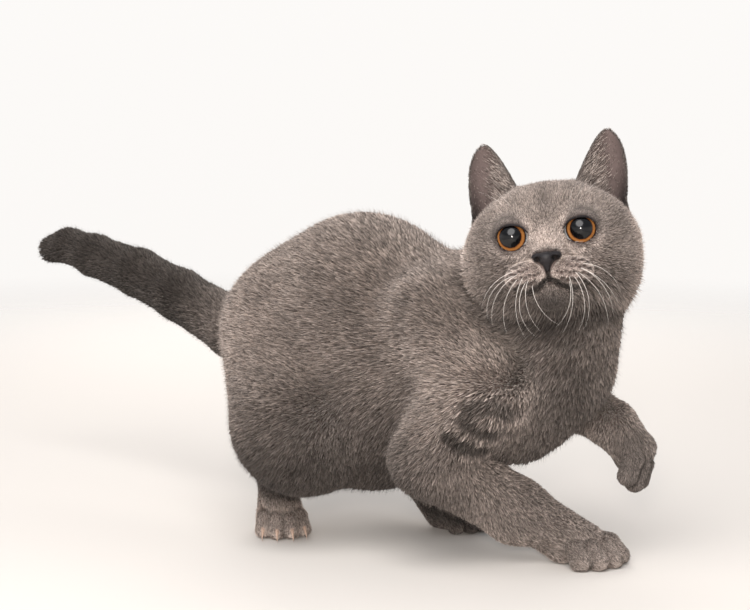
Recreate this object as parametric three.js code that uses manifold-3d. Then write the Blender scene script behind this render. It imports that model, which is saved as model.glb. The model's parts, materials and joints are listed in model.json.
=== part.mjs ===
// A life-size still model of a young blue British Shorthair cat in mid-step: three feet on the
// floor, the left forepaw raised, and the head turned to its right.
// Millimetres, +X forward along the trunk, +Y to the cat's left, +Z up, with the floor at Z = 0.
//
// The coat's outer surface is one implicit field of soft-joined ellipsoids and tapered limbs.
// Each named part is that surface inside the part's own cutting box, so neighbours part at thin cuts.
import * as THREE from "three";
import { mergeVertices } from "three/addons/utils/BufferGeometryUtils.js";
import Module from "manifold-3d";

const wasm = await Module();
wasm.setup();

// ---------------------------------------------------------------- driving dimensions
const CUT = 0.3; // gap between neighbouring parts
const FLOOR = 0;
const RAISED_PAW_PITCH = -66; // degrees: the lifted paw hangs

// The spacing of the facets on each kind of part.
const STEP = { face: 6.2, paw: 7.3, head: 11.4, limb: 11.2, tail: 12.5, trunk: 18 };

// Where the body is parted, by planes: low and high are corners of boxes, and a place with a
// heading and pitch is a plane's point and the way it faces.
const PARTING = {
  muzzle: { low: [33, -29, -50], high: [80, 29, -8] }, // in the head's frame
  head: { low: [-40, -56, -44], high: [80, 60, 60] }, // in the head's frame
  paw: { low: [-12, -30, -24], high: [45, 30, 30] }, // in the paw's frame
  hindPawTop: 16,
  neck: { place: [84, 6, 138], heading: -8, pitch: 42 },
  chest: { place: [14, 0, 0], heading: 8 },
  belly: { place: [-52, 0, 0], heading: -4 },
  tail: [-147, -226, -302],
  shoulder: { right: [16, -34], left: [26, 36], top: 152 },
  hip: { right: [12, -32], left: [24, 34], top: 146 },
};

const HEAD = {
  centre: [121, -5, 203],
  heading: -59, // degrees from +X, towards the cat's right
  pitch: 13, // nose up
  roll: 8, // left ear up
};

// Places on the head are in its own frame: +X out of the face, +Y left, +Z up.
const EYE = { radius: 10.5, place: [27.5, 19.8, 5] };
const NOSE = { place: [53, 0, -14.5], radii: [5, 9, 5.6] };
const EAR = {
  base: [-8, 34, 28],
  tip: [-13, 38.5, 71],
  lean: 1.8, // of both tips, towards the cat's left
  outerHalf: 14.6, // the outer half of the width at the base, and the inner
  innerHalf: 20.6,
  cup: 12, // depth of the hollow
  wall: 2.8,
  facing: 10, // degrees that the opening turns outwards
};

const PELVIS = { centre: [-84, 2, 130], heading: -12 };

const TAIL = {
  route: [
    [-112, 4, 124],
    [-166, 5, 126.5],
    [-225, 4, 146.5],
    [-270, 3, 160],
    [-320, 2, 170],
    [-350, 1, 176],
    [-370, 0, 172],
  ],
  radii: [26, 21, 18.5, 17.5, 15.5, 13, 11],
};

// Each leg is a chain of joints; the radius at each is the limb's thickness there, coat included.
// A foreleg runs from the shoulder blade by shoulder, elbow and wrist to the paw, and a hind leg
// from the hip by knee and hock. lower is the box that parts the forearm or hock from the rest.
const LEGS = {
  right_fore: {
    joints: [[52, -34, 160], [90, -38, 118], [58, -43, 71], [86, 8, 33], [120, 37, 15]],
    radii: [27, 31, 24, 19.5, 10.5],
    ankle: 13.5,
    pawHeading: -14,
    toeSpread: 10.4,
    toeSize: 0.98,
    planted: true,
    lower: { start: 12, beyond: 24, half: 29 },
  },
  left_fore: {
    joints: [[58, 34, 165], [88, 34, 136], [78, 41, 111], [130, 50, 88], [144.5, 58.5, 74]],
    radii: [27, 27, 17.5, 13.5, 10.5],
    ankle: 9.5,
    pawHeading: 14,
    toeSpread: 6.8,
    toeSize: 0.98,
    planted: false,
    lower: { start: 26, beyond: 24, half: 26 },
  },
  right_hind: {
    joints: [[-86, -20, 136], [-42, -54, 82], [-94, -28, 58], [-78, -38, 15]],
    radii: [47, 46, 18, 11.5],
    ankle: 9,
    pawHeading: -40,
    toeSpread: 8.2,
    toeSize: 0.86,
    planted: true,
    lower: { start: -6, beyond: 14, half: 23 },
  },
  left_hind: {
    joints: [[-84, 26, 136], [-8, 50, 88], [-56, 48, 52], [1, 51, 15]],
    radii: [48, 38, 18, 11.5],
    ankle: 9,
    pawHeading: -4,
    toeSpread: 8.2,
    toeSize: 0.86,
    planted: true,
    lower: { start: 0, beyond: 14, half: 20 },
  },
};

const TOE = {
  heel: { place: [-11, 0, 0.5], radius: 8.2 },
  bones: [[-8, 0, 5], [2.5, 0, 5.6], [10.5, 0, -1.2]], // root, knuckle and tip
  radii: [7, 6.4, 6.8],
  advance: 8,
  setBack: 6, // of the outer toes behind the middle ones
  drop: 8.6,
};
const PAD = { place: [-2, 0, -12.4], radii: [15, 11.5, 5.4] }; // the large pad under the paw
const CLAW = { length: 9, radius: 1.5, bend: 0.055, place: [14.5, 0, 0.7], pitch: -18 };

const FINISH = {
  coat: { colour: "#6f6a6b", roughness: 0.9 },
  leather: { colour: "#4a4346", roughness: 0.5 },
  iris: { colour: "#a9622c", roughness: 0.15 },
  horn: { colour: "#c9b6a0", roughness: 0.4 },
};

const FAR = 400;
const BODY_BOX = new THREE.Box3(new THREE.Vector3(-FAR, -130, -8), new THREE.Vector3(230, 130, 300));

// ---------------------------------------------------------------- small vector helpers
const world = new THREE.Matrix4();
const radians = (degrees) => (degrees * Math.PI) / 180;
const vec = (p) => new THREE.Vector3(...p);

// A frame at a place, turned by heading (about Z), pitch (nose up) and roll (left side up).
function frameAt(place, heading = 0, pitch = 0, roll = 0) {
  const turn = new THREE.Quaternion()
    .setFromAxisAngle(new THREE.Vector3(0, 0, 1), radians(heading))
    .multiply(new THREE.Quaternion().setFromAxisAngle(new THREE.Vector3(0, 1, 0), radians(-pitch)))
    .multiply(new THREE.Quaternion().setFromAxisAngle(new THREE.Vector3(1, 0, 0), radians(roll)));
  return new THREE.Matrix4().compose(vec(place), turn, new THREE.Vector3(1, 1, 1));
}

const headFrame = frameAt(HEAD.centre, HEAD.heading, HEAD.pitch, HEAD.roll);
const inHeadFrame = (place) => headFrame.clone().multiply(frameAt(place));
const inHead = (x, y, z) => new THREE.Vector3(x, y, z).applyMatrix4(headFrame);

// ---------------------------------------------------------------- fields
// A field gives a signed distance in millimetres: negative inside.

// An ellipsoid with half-axes radii, in the frame given.
function ellipsoid(frame, radii) {
  const m = frame.clone().invert().elements;
  const [a, b, c] = radii;
  return (x, y, z) => {
    const u = m[0] * x + m[4] * y + m[8] * z + m[12];
    const v = m[1] * x + m[5] * y + m[9] * z + m[13];
    const w = m[2] * x + m[6] * y + m[10] * z + m[14];
    const near = Math.hypot(u / a, v / b, w / c);
    const slope = Math.hypot(u / (a * a), v / (b * b), w / (c * c));
    return slope < 1e-9 ? -Math.min(a, b, c) : (near * (near - 1)) / slope;
  };
}

// A tapered limb between two points, with a round end of its own radius at each.
function limb(from, to, radiusFrom, radiusTo) {
  const [ax, ay, az] = from;
  const dx = to[0] - ax;
  const dy = to[1] - ay;
  const dz = to[2] - az;
  const lengthSquared = dx * dx + dy * dy + dz * dz;
  return (x, y, z) => {
    const along = ((x - ax) * dx + (y - ay) * dy + (z - az) * dz) / lengthSquared;
    const t = Math.min(1, Math.max(0, along));
    const gap = Math.hypot(x - ax - t * dx, y - ay - t * dy, z - az - t * dz);
    return gap - radiusFrom - t * (radiusTo - radiusFrom);
  };
}

// Joins fields with a fillet about as wide as soft.
function softJoin(soft, fields) {
  return (x, y, z) => {
    let d = fields[0](x, y, z);
    for (let i = 1; i < fields.length; i++) {
      const e = fields[i](x, y, z);
      const h = Math.max(soft - Math.abs(d - e), 0) / soft;
      d = Math.min(d, e) - h * h * soft * 0.25;
    }
    return d;
  };
}

// ---------------------------------------------------------------- the body's masses
function headField() {
  const part = (place, radii) => ellipsoid(inHeadFrame(place), radii);
  const pair = ([x, y, z], radii) => [part([x, y, z], radii), part([x, -y, z], radii)];
  const broad = softJoin(14, [
    part([-4, 0, 7], [42, 46, 34]), // skull
    ...pair([0, 26, -7], [34, 26, 31]), // cheeks
    part([14, 0, -22], [24, 25, 18]), // lower jaw
  ]);
  const bridge = limb(inHead(28, 0, 7).toArray(), inHead(46, 0, -12).toArray(), 13, 8);
  return softJoin(6, [
    broad,
    bridge,
    ...pair([42, 12.5, -21.5], [13, 13.5, 9.5]), // whisker pads
    part([33.5, 0, -31], [12, 13.5, 9.5]), // chin
  ]);
}

function trunkField() {
  const mass = (place, radii, heading = 0, pitch = 0) =>
    ellipsoid(frameAt(place, heading, pitch), radii);
  return softJoin(24, [
    mass(PELVIS.centre, [50, 54, 62], PELVIS.heading), // rump
    mass([-30, -6, 125], [88, 66, 92], -4), // loin and belly
    mass([52, 3, 130], [74, 56, 64], 10), // rib cage
    mass([90, 6, 118], [34, 44, 50], 15), // breast
  ]);
}

function neckField() {
  return softJoin(10, [
    limb([74, 6, 146], inHead(-16, 0, -8).toArray(), 50, 42),
    limb([102, 20, 130], inHead(0, 9, -24).toArray(), 42, 33), // throat
  ]);
}

function tailField() {
  const lengths = TAIL.route.slice(1).map((point, i) =>
    limb(TAIL.route[i], point, TAIL.radii[i], TAIL.radii[i + 1]));
  return softJoin(6, lengths);
}

const pawFrame = (leg) =>
  frameAt(leg.joints.at(-1), leg.pawHeading, leg.planted ? 0 : RAISED_PAW_PITCH);

// The toes' frames: +X along the toe, at the end of the leg's last joint.
function toeFrames(leg) {
  const paw = pawFrame(leg);
  return [-1.38, -0.5, 0.5, 1.38].map((place) => {
    const advance = TOE.advance - TOE.setBack * (Math.abs(place) - 0.5);
    return paw.clone().multiply(frameAt([advance, place * leg.toeSpread, -TOE.drop], place * 7));
  });
}

function pawField(leg) {
  const wrist = leg.joints.at(-2);
  const foot = leg.joints.at(-1);
  const toes = toeFrames(leg).flatMap((frame) => {
    const [heel, ...bones] = [TOE.heel.place, ...TOE.bones].map((place) =>
      vec(place).applyMatrix4(frame).toArray());
    const radii = TOE.radii.map((radius) => radius * leg.toeSize);
    const toe = [0, 1].map((i) => limb(bones[i], bones[i + 1], radii[i], radii[i + 1]));
    return [limb(wrist, heel, leg.ankle, TOE.heel.radius * leg.toeSize), ...toe];
  });
  const back = limb(wrist, foot, leg.radii.at(-2), leg.radii.at(-1));
  const pad = ellipsoid(pawFrame(leg).multiply(frameAt(PAD.place)), PAD.radii);
  return softJoin(2, [back, pad, ...toes]);
}

function legField(leg) {
  const bones = leg.joints.slice(1, -1).map((joint, i) =>
    limb(leg.joints[i], joint, leg.radii[i], leg.radii[i + 1]));
  return softJoin(10, [...bones, pawField(leg)]);
}

const bodyField = (() => {
  const trunk = softJoin(20, [trunkField(), neckField(), tailField()]);
  const limbs = Object.values(LEGS).map(legField);
  const whole = softJoin(12, [softJoin(16, [trunk, ...limbs]), headField()]);
  // The soles are flat where they meet the floor.
  return (x, y, z) => Math.max(whole(x, y, z), FLOOR - z);
})();

// ---------------------------------------------------------------- surface of a field
// Moves each point on to the surface along the field's slope, by no more than a part of a step.
function settle(positions, field, step) {
  const probe = 0.1;
  for (let i = 0; i < positions.length; i += 3) {
    const [x, y, z] = positions.slice(i, i + 3);
    const slope = [
      field(x + probe, y, z) - field(x - probe, y, z),
      field(x, y + probe, z) - field(x, y - probe, z),
      field(x, y, z + probe) - field(x, y, z - probe),
    ].map((rise) => rise / (2 * probe));
    const steep = slope[0] ** 2 + slope[1] ** 2 + slope[2] ** 2;
    const move = THREE.MathUtils.clamp(field(x, y, z) / Math.max(steep, 0.1), -0.3 * step, 0.3 * step);
    for (let axis = 0; axis < 3; axis++) positions[i + axis] -= move * slope[axis];
  }
}

// Where two filled grid corners meet only across the diagonal of a square, the fainter is emptied,
// so that every edge of the surface has just two faces.
function separate(values, [nx, ny, nz]) {
  const strides = [1, nx, nx * ny];
  const limits = [nx, ny, nz];
  let changed = true;
  while (changed) {
    changed = false;
    for (let k = 0; k < nz; k++)
      for (let j = 0; j < ny; j++)
        for (let i = 0; i < nx; i++)
          for (let axis = 0; axis < 3; axis++) {
            const place = [i, j, k];
            const other = (axis + 1) % 3;
            if (place[axis] + 1 >= limits[axis] || place[other] + 1 >= limits[other]) continue;
            const a = i + nx * (j + ny * k);
            const square = [a, a + strides[axis], a + strides[axis] + strides[other], a + strides[other]];
            const [p, q, r, s] = square.map((n) => values[n] < 0);
            if (p !== r || q !== s || p === q) continue;
            const [m, n] = p ? [square[0], square[2]] : [square[1], square[3]];
            values[values[m] > values[n] ? m : n] = 0.01;
            changed = true;
          }
  }
}

// Surface nets: one vertex in each cell that the surface crosses, moved on to the surface.
function surfaceOf(field, box, step) {
  const size = box.getSize(new THREE.Vector3());
  const count = [size.x, size.y, size.z].map((s) => Math.ceil(s / step) + 1);
  const [nx, ny, nz] = count;
  const at = (i, j, k) => i + nx * (j + ny * k);
  const values = new Float64Array(nx * ny * nz);
  for (let k = 0; k < nz; k++)
    for (let j = 0; j < ny; j++)
      for (let i = 0; i < nx; i++) {
        const edge = i === 0 || j === 0 || k === 0 || i === nx - 1 || j === ny - 1 || k === nz - 1;
        const d = field(box.min.x + i * step, box.min.y + j * step, box.min.z + k * step);
        values[at(i, j, k)] = edge ? Math.max(d, 0.01 * step) : d;
      }
  separate(values, [nx, ny, nz]);
  const vertexOf = new Map();
  const positions = [];
  const corners = [0, 1, 2, 3, 4, 5, 6, 7].map((n) => [n & 1, (n >> 1) & 1, (n >> 2) & 1]);
  const edges = [];
  corners.forEach((a, m) => corners.forEach((b, n) => {
    const apart = Math.abs(a[0] - b[0]) + Math.abs(a[1] - b[1]) + Math.abs(a[2] - b[2]);
    if (m < n && apart === 1) edges.push([m, n]);
  }));
  for (let k = 0; k < nz - 1; k++)
    for (let j = 0; j < ny - 1; j++)
      for (let i = 0; i < nx - 1; i++) {
        const v = corners.map(([a, b, c]) => values[at(i + a, j + b, k + c)]);
        const inside = v.filter((d) => d < 0).length;
        if (inside === 0 || inside === 8) continue;
        const sum = [0, 0, 0];
        let crossings = 0;
        for (const [m, n] of edges) {
          if (v[m] < 0 === v[n] < 0) continue;
          const t = v[m] / (v[m] - v[n]);
          for (let axis = 0; axis < 3; axis++)
            sum[axis] += corners[m][axis] + t * (corners[n][axis] - corners[m][axis]);
          crossings++;
        }
        vertexOf.set(at(i, j, k), positions.length / 3);
        positions.push(
          box.min.x + step * (i + sum[0] / crossings),
          box.min.y + step * (j + sum[1] / crossings),
          box.min.z + step * (k + sum[2] / crossings),
        );
      }
  settle(positions, field, step);
  const faces = [];
  const quad = (a, b, c, d, flip) => {
    const [p, q, r, s] = [a, b, c, d].map((cell) => vertexOf.get(cell));
    faces.push(...(flip ? [p, q, r, p, r, s] : [p, r, q, p, s, r]));
  };
  for (let k = 0; k < nz - 1; k++)
    for (let j = 0; j < ny - 1; j++)
      for (let i = 0; i < nx - 1; i++) {
        const here = values[at(i, j, k)] < 0;
        const cell = (a, b, c) => at(i - a, j - b, k - c);
        if (j > 0 && k > 0 && here !== values[at(i + 1, j, k)] < 0)
          quad(cell(0, 0, 0), cell(0, 1, 0), cell(0, 1, 1), cell(0, 0, 1), here);
        if (i > 0 && k > 0 && here !== values[at(i, j + 1, k)] < 0)
          quad(cell(0, 0, 0), cell(0, 0, 1), cell(1, 0, 1), cell(1, 0, 0), here);
        if (i > 0 && j > 0 && here !== values[at(i, j, k + 1)] < 0)
          quad(cell(0, 0, 0), cell(1, 0, 0), cell(1, 1, 0), cell(0, 1, 0), here);
      }
  return new THREE.BufferGeometry()
    .setAttribute("position", new THREE.BufferAttribute(new Float32Array(positions), 3))
    .setIndex(faces);
}

// ---------------------------------------------------------------- solids
// A stock shape with its seams closed, before it is scaled or turned.
function closed(shape) {
  shape.deleteAttribute("normal");
  shape.deleteAttribute("uv");
  return mergeVertices(shape, 1e-4);
}

function solidOf(geometry) {
  return new wasm.Manifold(new wasm.Mesh({
    numProp: 3,
    vertProperties: new Float32Array(geometry.attributes.position.array),
    triVerts: new Uint32Array(geometry.index.array),
  }));
}

// The largest closed body of a solid: the crumbs that crossing cuts leave are dropped.
function geometryOf(solid) {
  const mesh = solid.getMesh();
  const parent = Uint32Array.from({ length: mesh.numVert }, (_, i) => i);
  const rootOf = (i) => {
    while (parent[i] !== i) i = parent[i] = parent[parent[i]];
    return i;
  };
  const triangles = [];
  for (let i = 0; i < mesh.triVerts.length; i += 3) {
    const [a, b, c] = mesh.triVerts.subarray(i, i + 3);
    parent[rootOf(b)] = rootOf(a);
    parent[rootOf(c)] = rootOf(a);
    triangles.push([a, b, c]);
  }
  const counts = new Map();
  for (const [a] of triangles) counts.set(rootOf(a), (counts.get(rootOf(a)) ?? 0) + 1);
  const largest = [...counts].reduce((best, entry) => (entry[1] > best[1] ? entry : best))[0];
  const kept = triangles.filter(([a]) => rootOf(a) === largest);
  const positions = kept.flat().flatMap((i) => {
    const start = i * mesh.numProp;
    return [...mesh.vertProperties.subarray(start, start + 3)];
  });
  return new THREE.BufferGeometry()
    .setAttribute("position", new THREE.Float32BufferAttribute(positions, 3));
}

// ---------------------------------------------------------------- cutters
// Each gives a closed shape, grown all round when it makes room for a neighbour.
const boxIn = (frame, low, high) => (grow) =>
  closed(new THREE.BoxGeometry(...high.map((h, i) => h - low[i] + 2 * grow)))
    .translate(...high.map((h, i) => (h + low[i]) / 2))
    .applyMatrix4(frame);

// All that lies ahead of a plane.
const aheadOf = ({ place, heading = 0, pitch = 0 }) =>
  boxIn(frameAt(place, heading, pitch), [0, -FAR, -FAR], [FAR, FAR, FAR]);

// A box along a bone, from start past its first joint to beyond its second.
function boxAlong(from, to, { start, beyond, half }) {
  const bone = vec(to).sub(vec(from));
  const heading = THREE.MathUtils.radToDeg(Math.atan2(bone.y, bone.x));
  const pitch = THREE.MathUtils.radToDeg(Math.atan2(bone.z, Math.hypot(bone.x, bone.y)));
  const high = [bone.length() + beyond, half, half];
  return boxIn(frameAt(from, heading, pitch), [start, -half, -half], high);
}

// ---------------------------------------------------------------- small pieces, in their own frames
const ball = (radii, segments) => (grow) =>
  closed(new THREE.SphereGeometry(1, segments, Math.round(segments * 0.6)))
    .scale(...radii.map((r) => r + grow));

// A claw: a cone along +X, bent downwards.
function claw(grow) {
  const cone = closed(new THREE.ConeGeometry(CLAW.radius + grow, CLAW.length + 2 * grow, 7, 3));
  cone.rotateZ(-Math.PI / 2).translate(CLAW.length / 2, 0, 0);
  const points = cone.attributes.position;
  for (let i = 0; i < points.count; i++)
    points.setZ(i, points.getZ(i) - CLAW.bend * Math.max(points.getX(i), 0) ** 2);
  return cone;
}

// The ear is a shell: a hollow front and a back one wall behind it, joined along the rim.
function earGeometry(side) {
  const rows = 8;
  const columns = 7;
  const sunk = 0.5; // of the ear's height below its base, inside the head
  const base = new THREE.Vector3(EAR.base[0], side * EAR.base[1], EAR.base[2]);
  const tip = new THREE.Vector3(EAR.tip[0], side * EAR.tip[1] + EAR.lean, EAR.tip[2]);
  const up = tip.clone().sub(base);
  const turn = radians(side * EAR.facing);
  const facing = new THREE.Vector3(Math.cos(turn), Math.sin(turn), 0);
  const across = new THREE.Vector3().crossVectors(up, facing).normalize();
  facing.crossVectors(across, up).normalize();
  const positions = [];
  for (const layer of [0, 1])
    for (let r = 0; r <= rows; r++)
      for (let c = 0; c <= columns; c++) {
        const t = (1 + sunk) * Math.sin((Math.PI / 2) * (r / rows)) - sunk;
        const s = (2 * c) / columns - 1;
        const rise = Math.max(t, 0);
        const half = s * side > 0
          ? EAR.outerHalf * Math.pow(1 - Math.pow(rise / 1.03, 3), 0.6)
          : EAR.innerHalf * Math.pow(1 - rise / 1.03, 0.62);
        const hollow = EAR.cup * (1 - 0.75 * rise) * (1 - s * s);
        const wall = EAR.wall * (1 - 0.6 * Math.pow(Math.max(Math.abs(s), rise), 4));
        positions.push(...base.clone()
          .addScaledVector(up, t)
          .addScaledVector(across, s * half)
          .addScaledVector(facing, -hollow - layer * wall));
      }
  const at = (layer, r, c) => (layer * (rows + 1) + r) * (columns + 1) + c;
  const faces = [];
  const quad = (p, q, r, s) => faces.push(p, r, q, p, s, r);
  for (let r = 0; r < rows; r++)
    for (let c = 0; c < columns; c++) {
      quad(at(0, r, c), at(0, r + 1, c), at(0, r + 1, c + 1), at(0, r, c + 1));
      quad(at(1, r, c), at(1, r, c + 1), at(1, r + 1, c + 1), at(1, r + 1, c));
    }
  for (let c = 0; c < columns; c++) {
    quad(at(0, 0, c), at(0, 0, c + 1), at(1, 0, c + 1), at(1, 0, c));
    quad(at(0, rows, c + 1), at(0, rows, c), at(1, rows, c), at(1, rows, c + 1));
  }
  for (let r = 0; r < rows; r++) {
    quad(at(0, r + 1, 0), at(0, r, 0), at(1, r, 0), at(1, r + 1, 0));
    quad(at(0, r, columns), at(0, r + 1, columns), at(1, r + 1, columns), at(1, r, columns));
  }
  return new THREE.BufferGeometry()
    .setAttribute("position", new THREE.Float32BufferAttribute(positions, 3))
    .setIndex(faces);
}

// ---------------------------------------------------------------- parts
const group = new THREE.Group();

function addPart(name, geometry, { colour, roughness }, frame = world) {
  const material = new THREE.MeshStandardMaterial({ color: colour, roughness, metalness: 0 });
  const mesh = new THREE.Mesh(geometry, material);
  mesh.name = name;
  mesh.applyMatrix4(frame);
  group.add(mesh);
}

// The eyes sit in sockets, the nose leather in its bed and the claws in theirs. The claws of the
// right hind paw are out; those of the other paws are sheathed.
const inlays = [
  ...[1, -1].map((side) => ({
    name: side > 0 ? "left_eye" : "right_eye",
    shape: ball([EYE.radius, EYE.radius, EYE.radius], 14),
    frame: inHeadFrame([EYE.place[0], side * EYE.place[1], EYE.place[2]]),
    finish: FINISH.iris,
  })),
  { name: "nose", shape: ball(NOSE.radii, 12), frame: inHeadFrame(NOSE.place), finish: FINISH.leather },
  ...toeFrames(LEGS.right_hind).map((toe, i) => ({
    name: `right_hind_claw_${i + 1}`,
    shape: claw,
    frame: toe.multiply(frameAt(CLAW.place, 0, CLAW.pitch)),
    finish: FINISH.horn,
  })),
];
const taken = inlays.map(({ shape, frame }) => solidOf(shape(CUT).applyMatrix4(frame)));
for (const { name, shape, frame, finish } of inlays) addPart(name, shape(0), finish, frame);

// Each flesh part is the body inside its cutter and outside the cutters of the parts before it.
function addFlesh(name, step, cutter) {
  const rough = cutter(0);
  rough.computeBoundingBox();
  const box = rough.boundingBox.clone().expandByScalar(2 * step).intersect(BODY_BOX);
  let solid = solidOf(surfaceOf(bodyField, box, step)).intersect(solidOf(rough));
  for (const other of taken) solid = solid.subtract(other);
  taken.push(solidOf(cutter(CUT)));
  addPart(name, geometryOf(solid), FINISH.coat);
}

addFlesh("muzzle", STEP.face, boxIn(headFrame, PARTING.muzzle.low, PARTING.muzzle.high));
addFlesh("head", STEP.head, boxIn(headFrame, PARTING.head.low, PARTING.head.high));
for (const [name, leg] of Object.entries(LEGS)) {
  const { low, high } = PARTING.paw;
  const hind = name.endsWith("hind");
  const box = boxIn(pawFrame(leg), low, [high[0], high[1], hind ? PARTING.hindPawTop : high[2]]);
  addFlesh(`${name}_paw`, STEP.paw, box);
}
for (const [name, leg] of Object.entries(LEGS)) {
  const part = name.endsWith("hind") ? "hock" : "forearm";
  const [from, to] = part === "hock" ? leg.joints.slice(-2) : leg.joints.slice(-3, -1);
  addFlesh(`${name.split("_")[0]}_${part}`, STEP.limb, boxAlong(from, to, leg.lower));
}
const { shoulder, hip } = PARTING;
addFlesh("right_upper_arm", STEP.trunk,
  boxIn(world, [shoulder.right[0], -FAR, 0], [FAR, shoulder.right[1], shoulder.top]));
addFlesh("left_upper_arm", STEP.trunk,
  boxIn(world, [shoulder.left[0], shoulder.left[1], 0], [FAR, FAR, shoulder.top]));
addFlesh("right_thigh", STEP.trunk, boxIn(world, [-FAR, -FAR, 0], [hip.right[0], hip.right[1], hip.top]));
addFlesh("left_thigh", STEP.trunk, boxIn(world, [-FAR, hip.left[1], 0], [hip.left[0], FAR, hip.top]));
addFlesh("neck", STEP.trunk, aheadOf(PARTING.neck));
["tail_root", "tail_middle", "tail_tip"].forEach((name, i) => {
  const end = PARTING.tail[i + 1] ?? -FAR;
  addFlesh(name, STEP.tail, boxIn(world, [end + CUT, -60, 60], [PARTING.tail[i], 60, FAR]));
});
addFlesh("chest", STEP.trunk, aheadOf(PARTING.chest));
addFlesh("belly", STEP.trunk, aheadOf(PARTING.belly));
addFlesh("rump", STEP.trunk, boxIn(world, [-FAR, -FAR, -FAR], [0, FAR, FAR]));

// Each ear stands on the head, trimmed to the head's surface with the cut between them. The head's
// facets stand up to its chord height off the field, so the ear keeps that much clear too.
const chord = 0.6;
const headBox = new THREE.Box3().setFromObject(group.getObjectByName("head")).expandByScalar(12);
const nearHead = (x, y, z) => bodyField(x, y, z) - CUT - chord;
const headAndCut = solidOf(surfaceOf(nearHead, headBox, STEP.paw));
for (const side of [1, -1]) {
  const ear = solidOf(earGeometry(side).applyMatrix4(headFrame));
  addPart(side > 0 ? "left_ear" : "right_ear", geometryOf(ear.subtract(headAndCut)), FINISH.coat);
}

// The origin is under the middle of the model, on the floor.
const middle = new THREE.Box3().setFromObject(group).getCenter(new THREE.Vector3());
group.position.set(-middle.x, -middle.y, 0);

export default group;
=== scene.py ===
import json
import math
import time

import bmesh
import bpy
import numpy as np
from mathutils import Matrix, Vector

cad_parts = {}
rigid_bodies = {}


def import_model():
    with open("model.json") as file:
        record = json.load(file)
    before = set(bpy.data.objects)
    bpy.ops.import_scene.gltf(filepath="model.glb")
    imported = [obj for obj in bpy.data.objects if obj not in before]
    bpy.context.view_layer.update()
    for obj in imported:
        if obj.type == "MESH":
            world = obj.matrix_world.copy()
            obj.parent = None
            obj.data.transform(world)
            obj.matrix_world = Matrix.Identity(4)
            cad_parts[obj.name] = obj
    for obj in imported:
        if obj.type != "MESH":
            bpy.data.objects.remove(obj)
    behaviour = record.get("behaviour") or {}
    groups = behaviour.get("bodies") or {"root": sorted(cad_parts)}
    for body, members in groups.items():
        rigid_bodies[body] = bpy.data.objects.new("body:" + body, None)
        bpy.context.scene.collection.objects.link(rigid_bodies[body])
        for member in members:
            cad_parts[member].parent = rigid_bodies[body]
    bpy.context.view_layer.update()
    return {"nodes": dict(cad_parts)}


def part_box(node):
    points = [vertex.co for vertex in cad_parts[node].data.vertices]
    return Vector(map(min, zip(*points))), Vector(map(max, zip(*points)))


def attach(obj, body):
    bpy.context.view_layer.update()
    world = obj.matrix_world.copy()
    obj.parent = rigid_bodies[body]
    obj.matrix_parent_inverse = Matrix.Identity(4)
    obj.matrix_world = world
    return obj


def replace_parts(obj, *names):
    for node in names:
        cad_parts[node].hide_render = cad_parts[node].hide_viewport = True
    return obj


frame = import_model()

import openvdb
from mathutils import Matrix, Vector

startTime = time.time()


def report(stage):
    print(f"{time.time() - startTime:6.1f} s  {stage}", flush=True)


def linearColour(hexColour):  # an sRGB hex value as the linear colour that a socket takes
    parts = [int(hexColour[i:i + 2], 16) / 255 for i in (1, 3, 5)]
    return tuple(c / 12.92 if c <= 0.04045 else ((c + 0.055) / 1.055) ** 2.4 for c in parts) + (1,)


def setInputs(node, inputs):  # a value, a hex colour, or a node or socket to link from
    for key, value in inputs.items():
        if isinstance(value, bpy.types.Node):
            value = value.outputs[0]
        if isinstance(value, bpy.types.NodeSocket):
            node.id_data.links.new(value, node.inputs[key])
        else:
            node.inputs[key].default_value = linearColour(value) if str(value)[0] == "#" else value
    return node


def addNode(tree, kind, inputs=None, **settings):  # a shader node's kind goes without its prefix
    node = tree.nodes.new(kind if "Node" in kind else "ShaderNode" + kind)
    for name, value in settings.items():
        setattr(node, name, value)
    return setInputs(node, inputs or {})


def newMaterial(name, **sockets):  # sockets of the main shader, with _ for a space
    material = bpy.data.materials.new(name)
    material.use_nodes = True
    shader = material.node_tree.nodes["Principled BSDF"]
    setInputs(shader, {socket.replace("_", " "): value for socket, value in sockets.items()})
    return material, material.node_tree, shader


def newObject(name, data):
    made = bpy.data.objects.new(name, data)
    bpy.context.scene.collection.objects.link(made)
    return made


def meshObject(name, points, faces):  # points in cat millimetres
    mesh = bpy.data.meshes.new(name)
    mesh.from_pydata((np.asarray(points) / 1000 + shift).tolist(), [], faces)
    mesh.update()
    mesh.shade_smooth()
    return newObject(name, mesh)


def finishPiece(piece, material=None):
    if material:
        piece.data.materials.append(material)
    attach(piece, "root")


def setAttribute(mesh, name, values, kind="FLOAT"):
    layer = mesh.attributes.new(name, kind, "POINT")
    layer.data.foreach_set("vector" if kind == "FLOAT_VECTOR" else "value",
                           np.ascontiguousarray(values, np.float32).ravel())


def unit(values):  # held between 0 and 1
    return np.clip(values, 0, 1)


def bump(gap, reach):  # 1 where the gap is 0, falling smoothly away
    return np.exp(-(gap / reach) ** 2)


def blob(points, place, reach):  # the same round a place, with a reach each way
    return np.exp(-(((points - np.array(place)) / reach) ** 2).sum(1))


def lengthOne(rows, least=0.0):
    return rows / (np.linalg.norm(rows, axis=1)[:, None] + least)


def mirrored(place, side):
    return (place[0], side * place[1], place[2])


def bothSides(place):  # a place and its mirror image, or one place on the midline
    return [mirrored(place, side) for side in ((1, -1) if place[1] else (1,))]


# Frames: a turn and a place. Pitch lifts the nose and roll lifts the left side.
def frameAt(place, heading=0, pitch=0, roll=0):
    turn = (Matrix.Rotation(math.radians(heading), 3, "Z")
            @ Matrix.Rotation(math.radians(-pitch), 3, "Y")
            @ Matrix.Rotation(math.radians(roll), 3, "X"))
    return np.array(turn), np.array(place, float)


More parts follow.
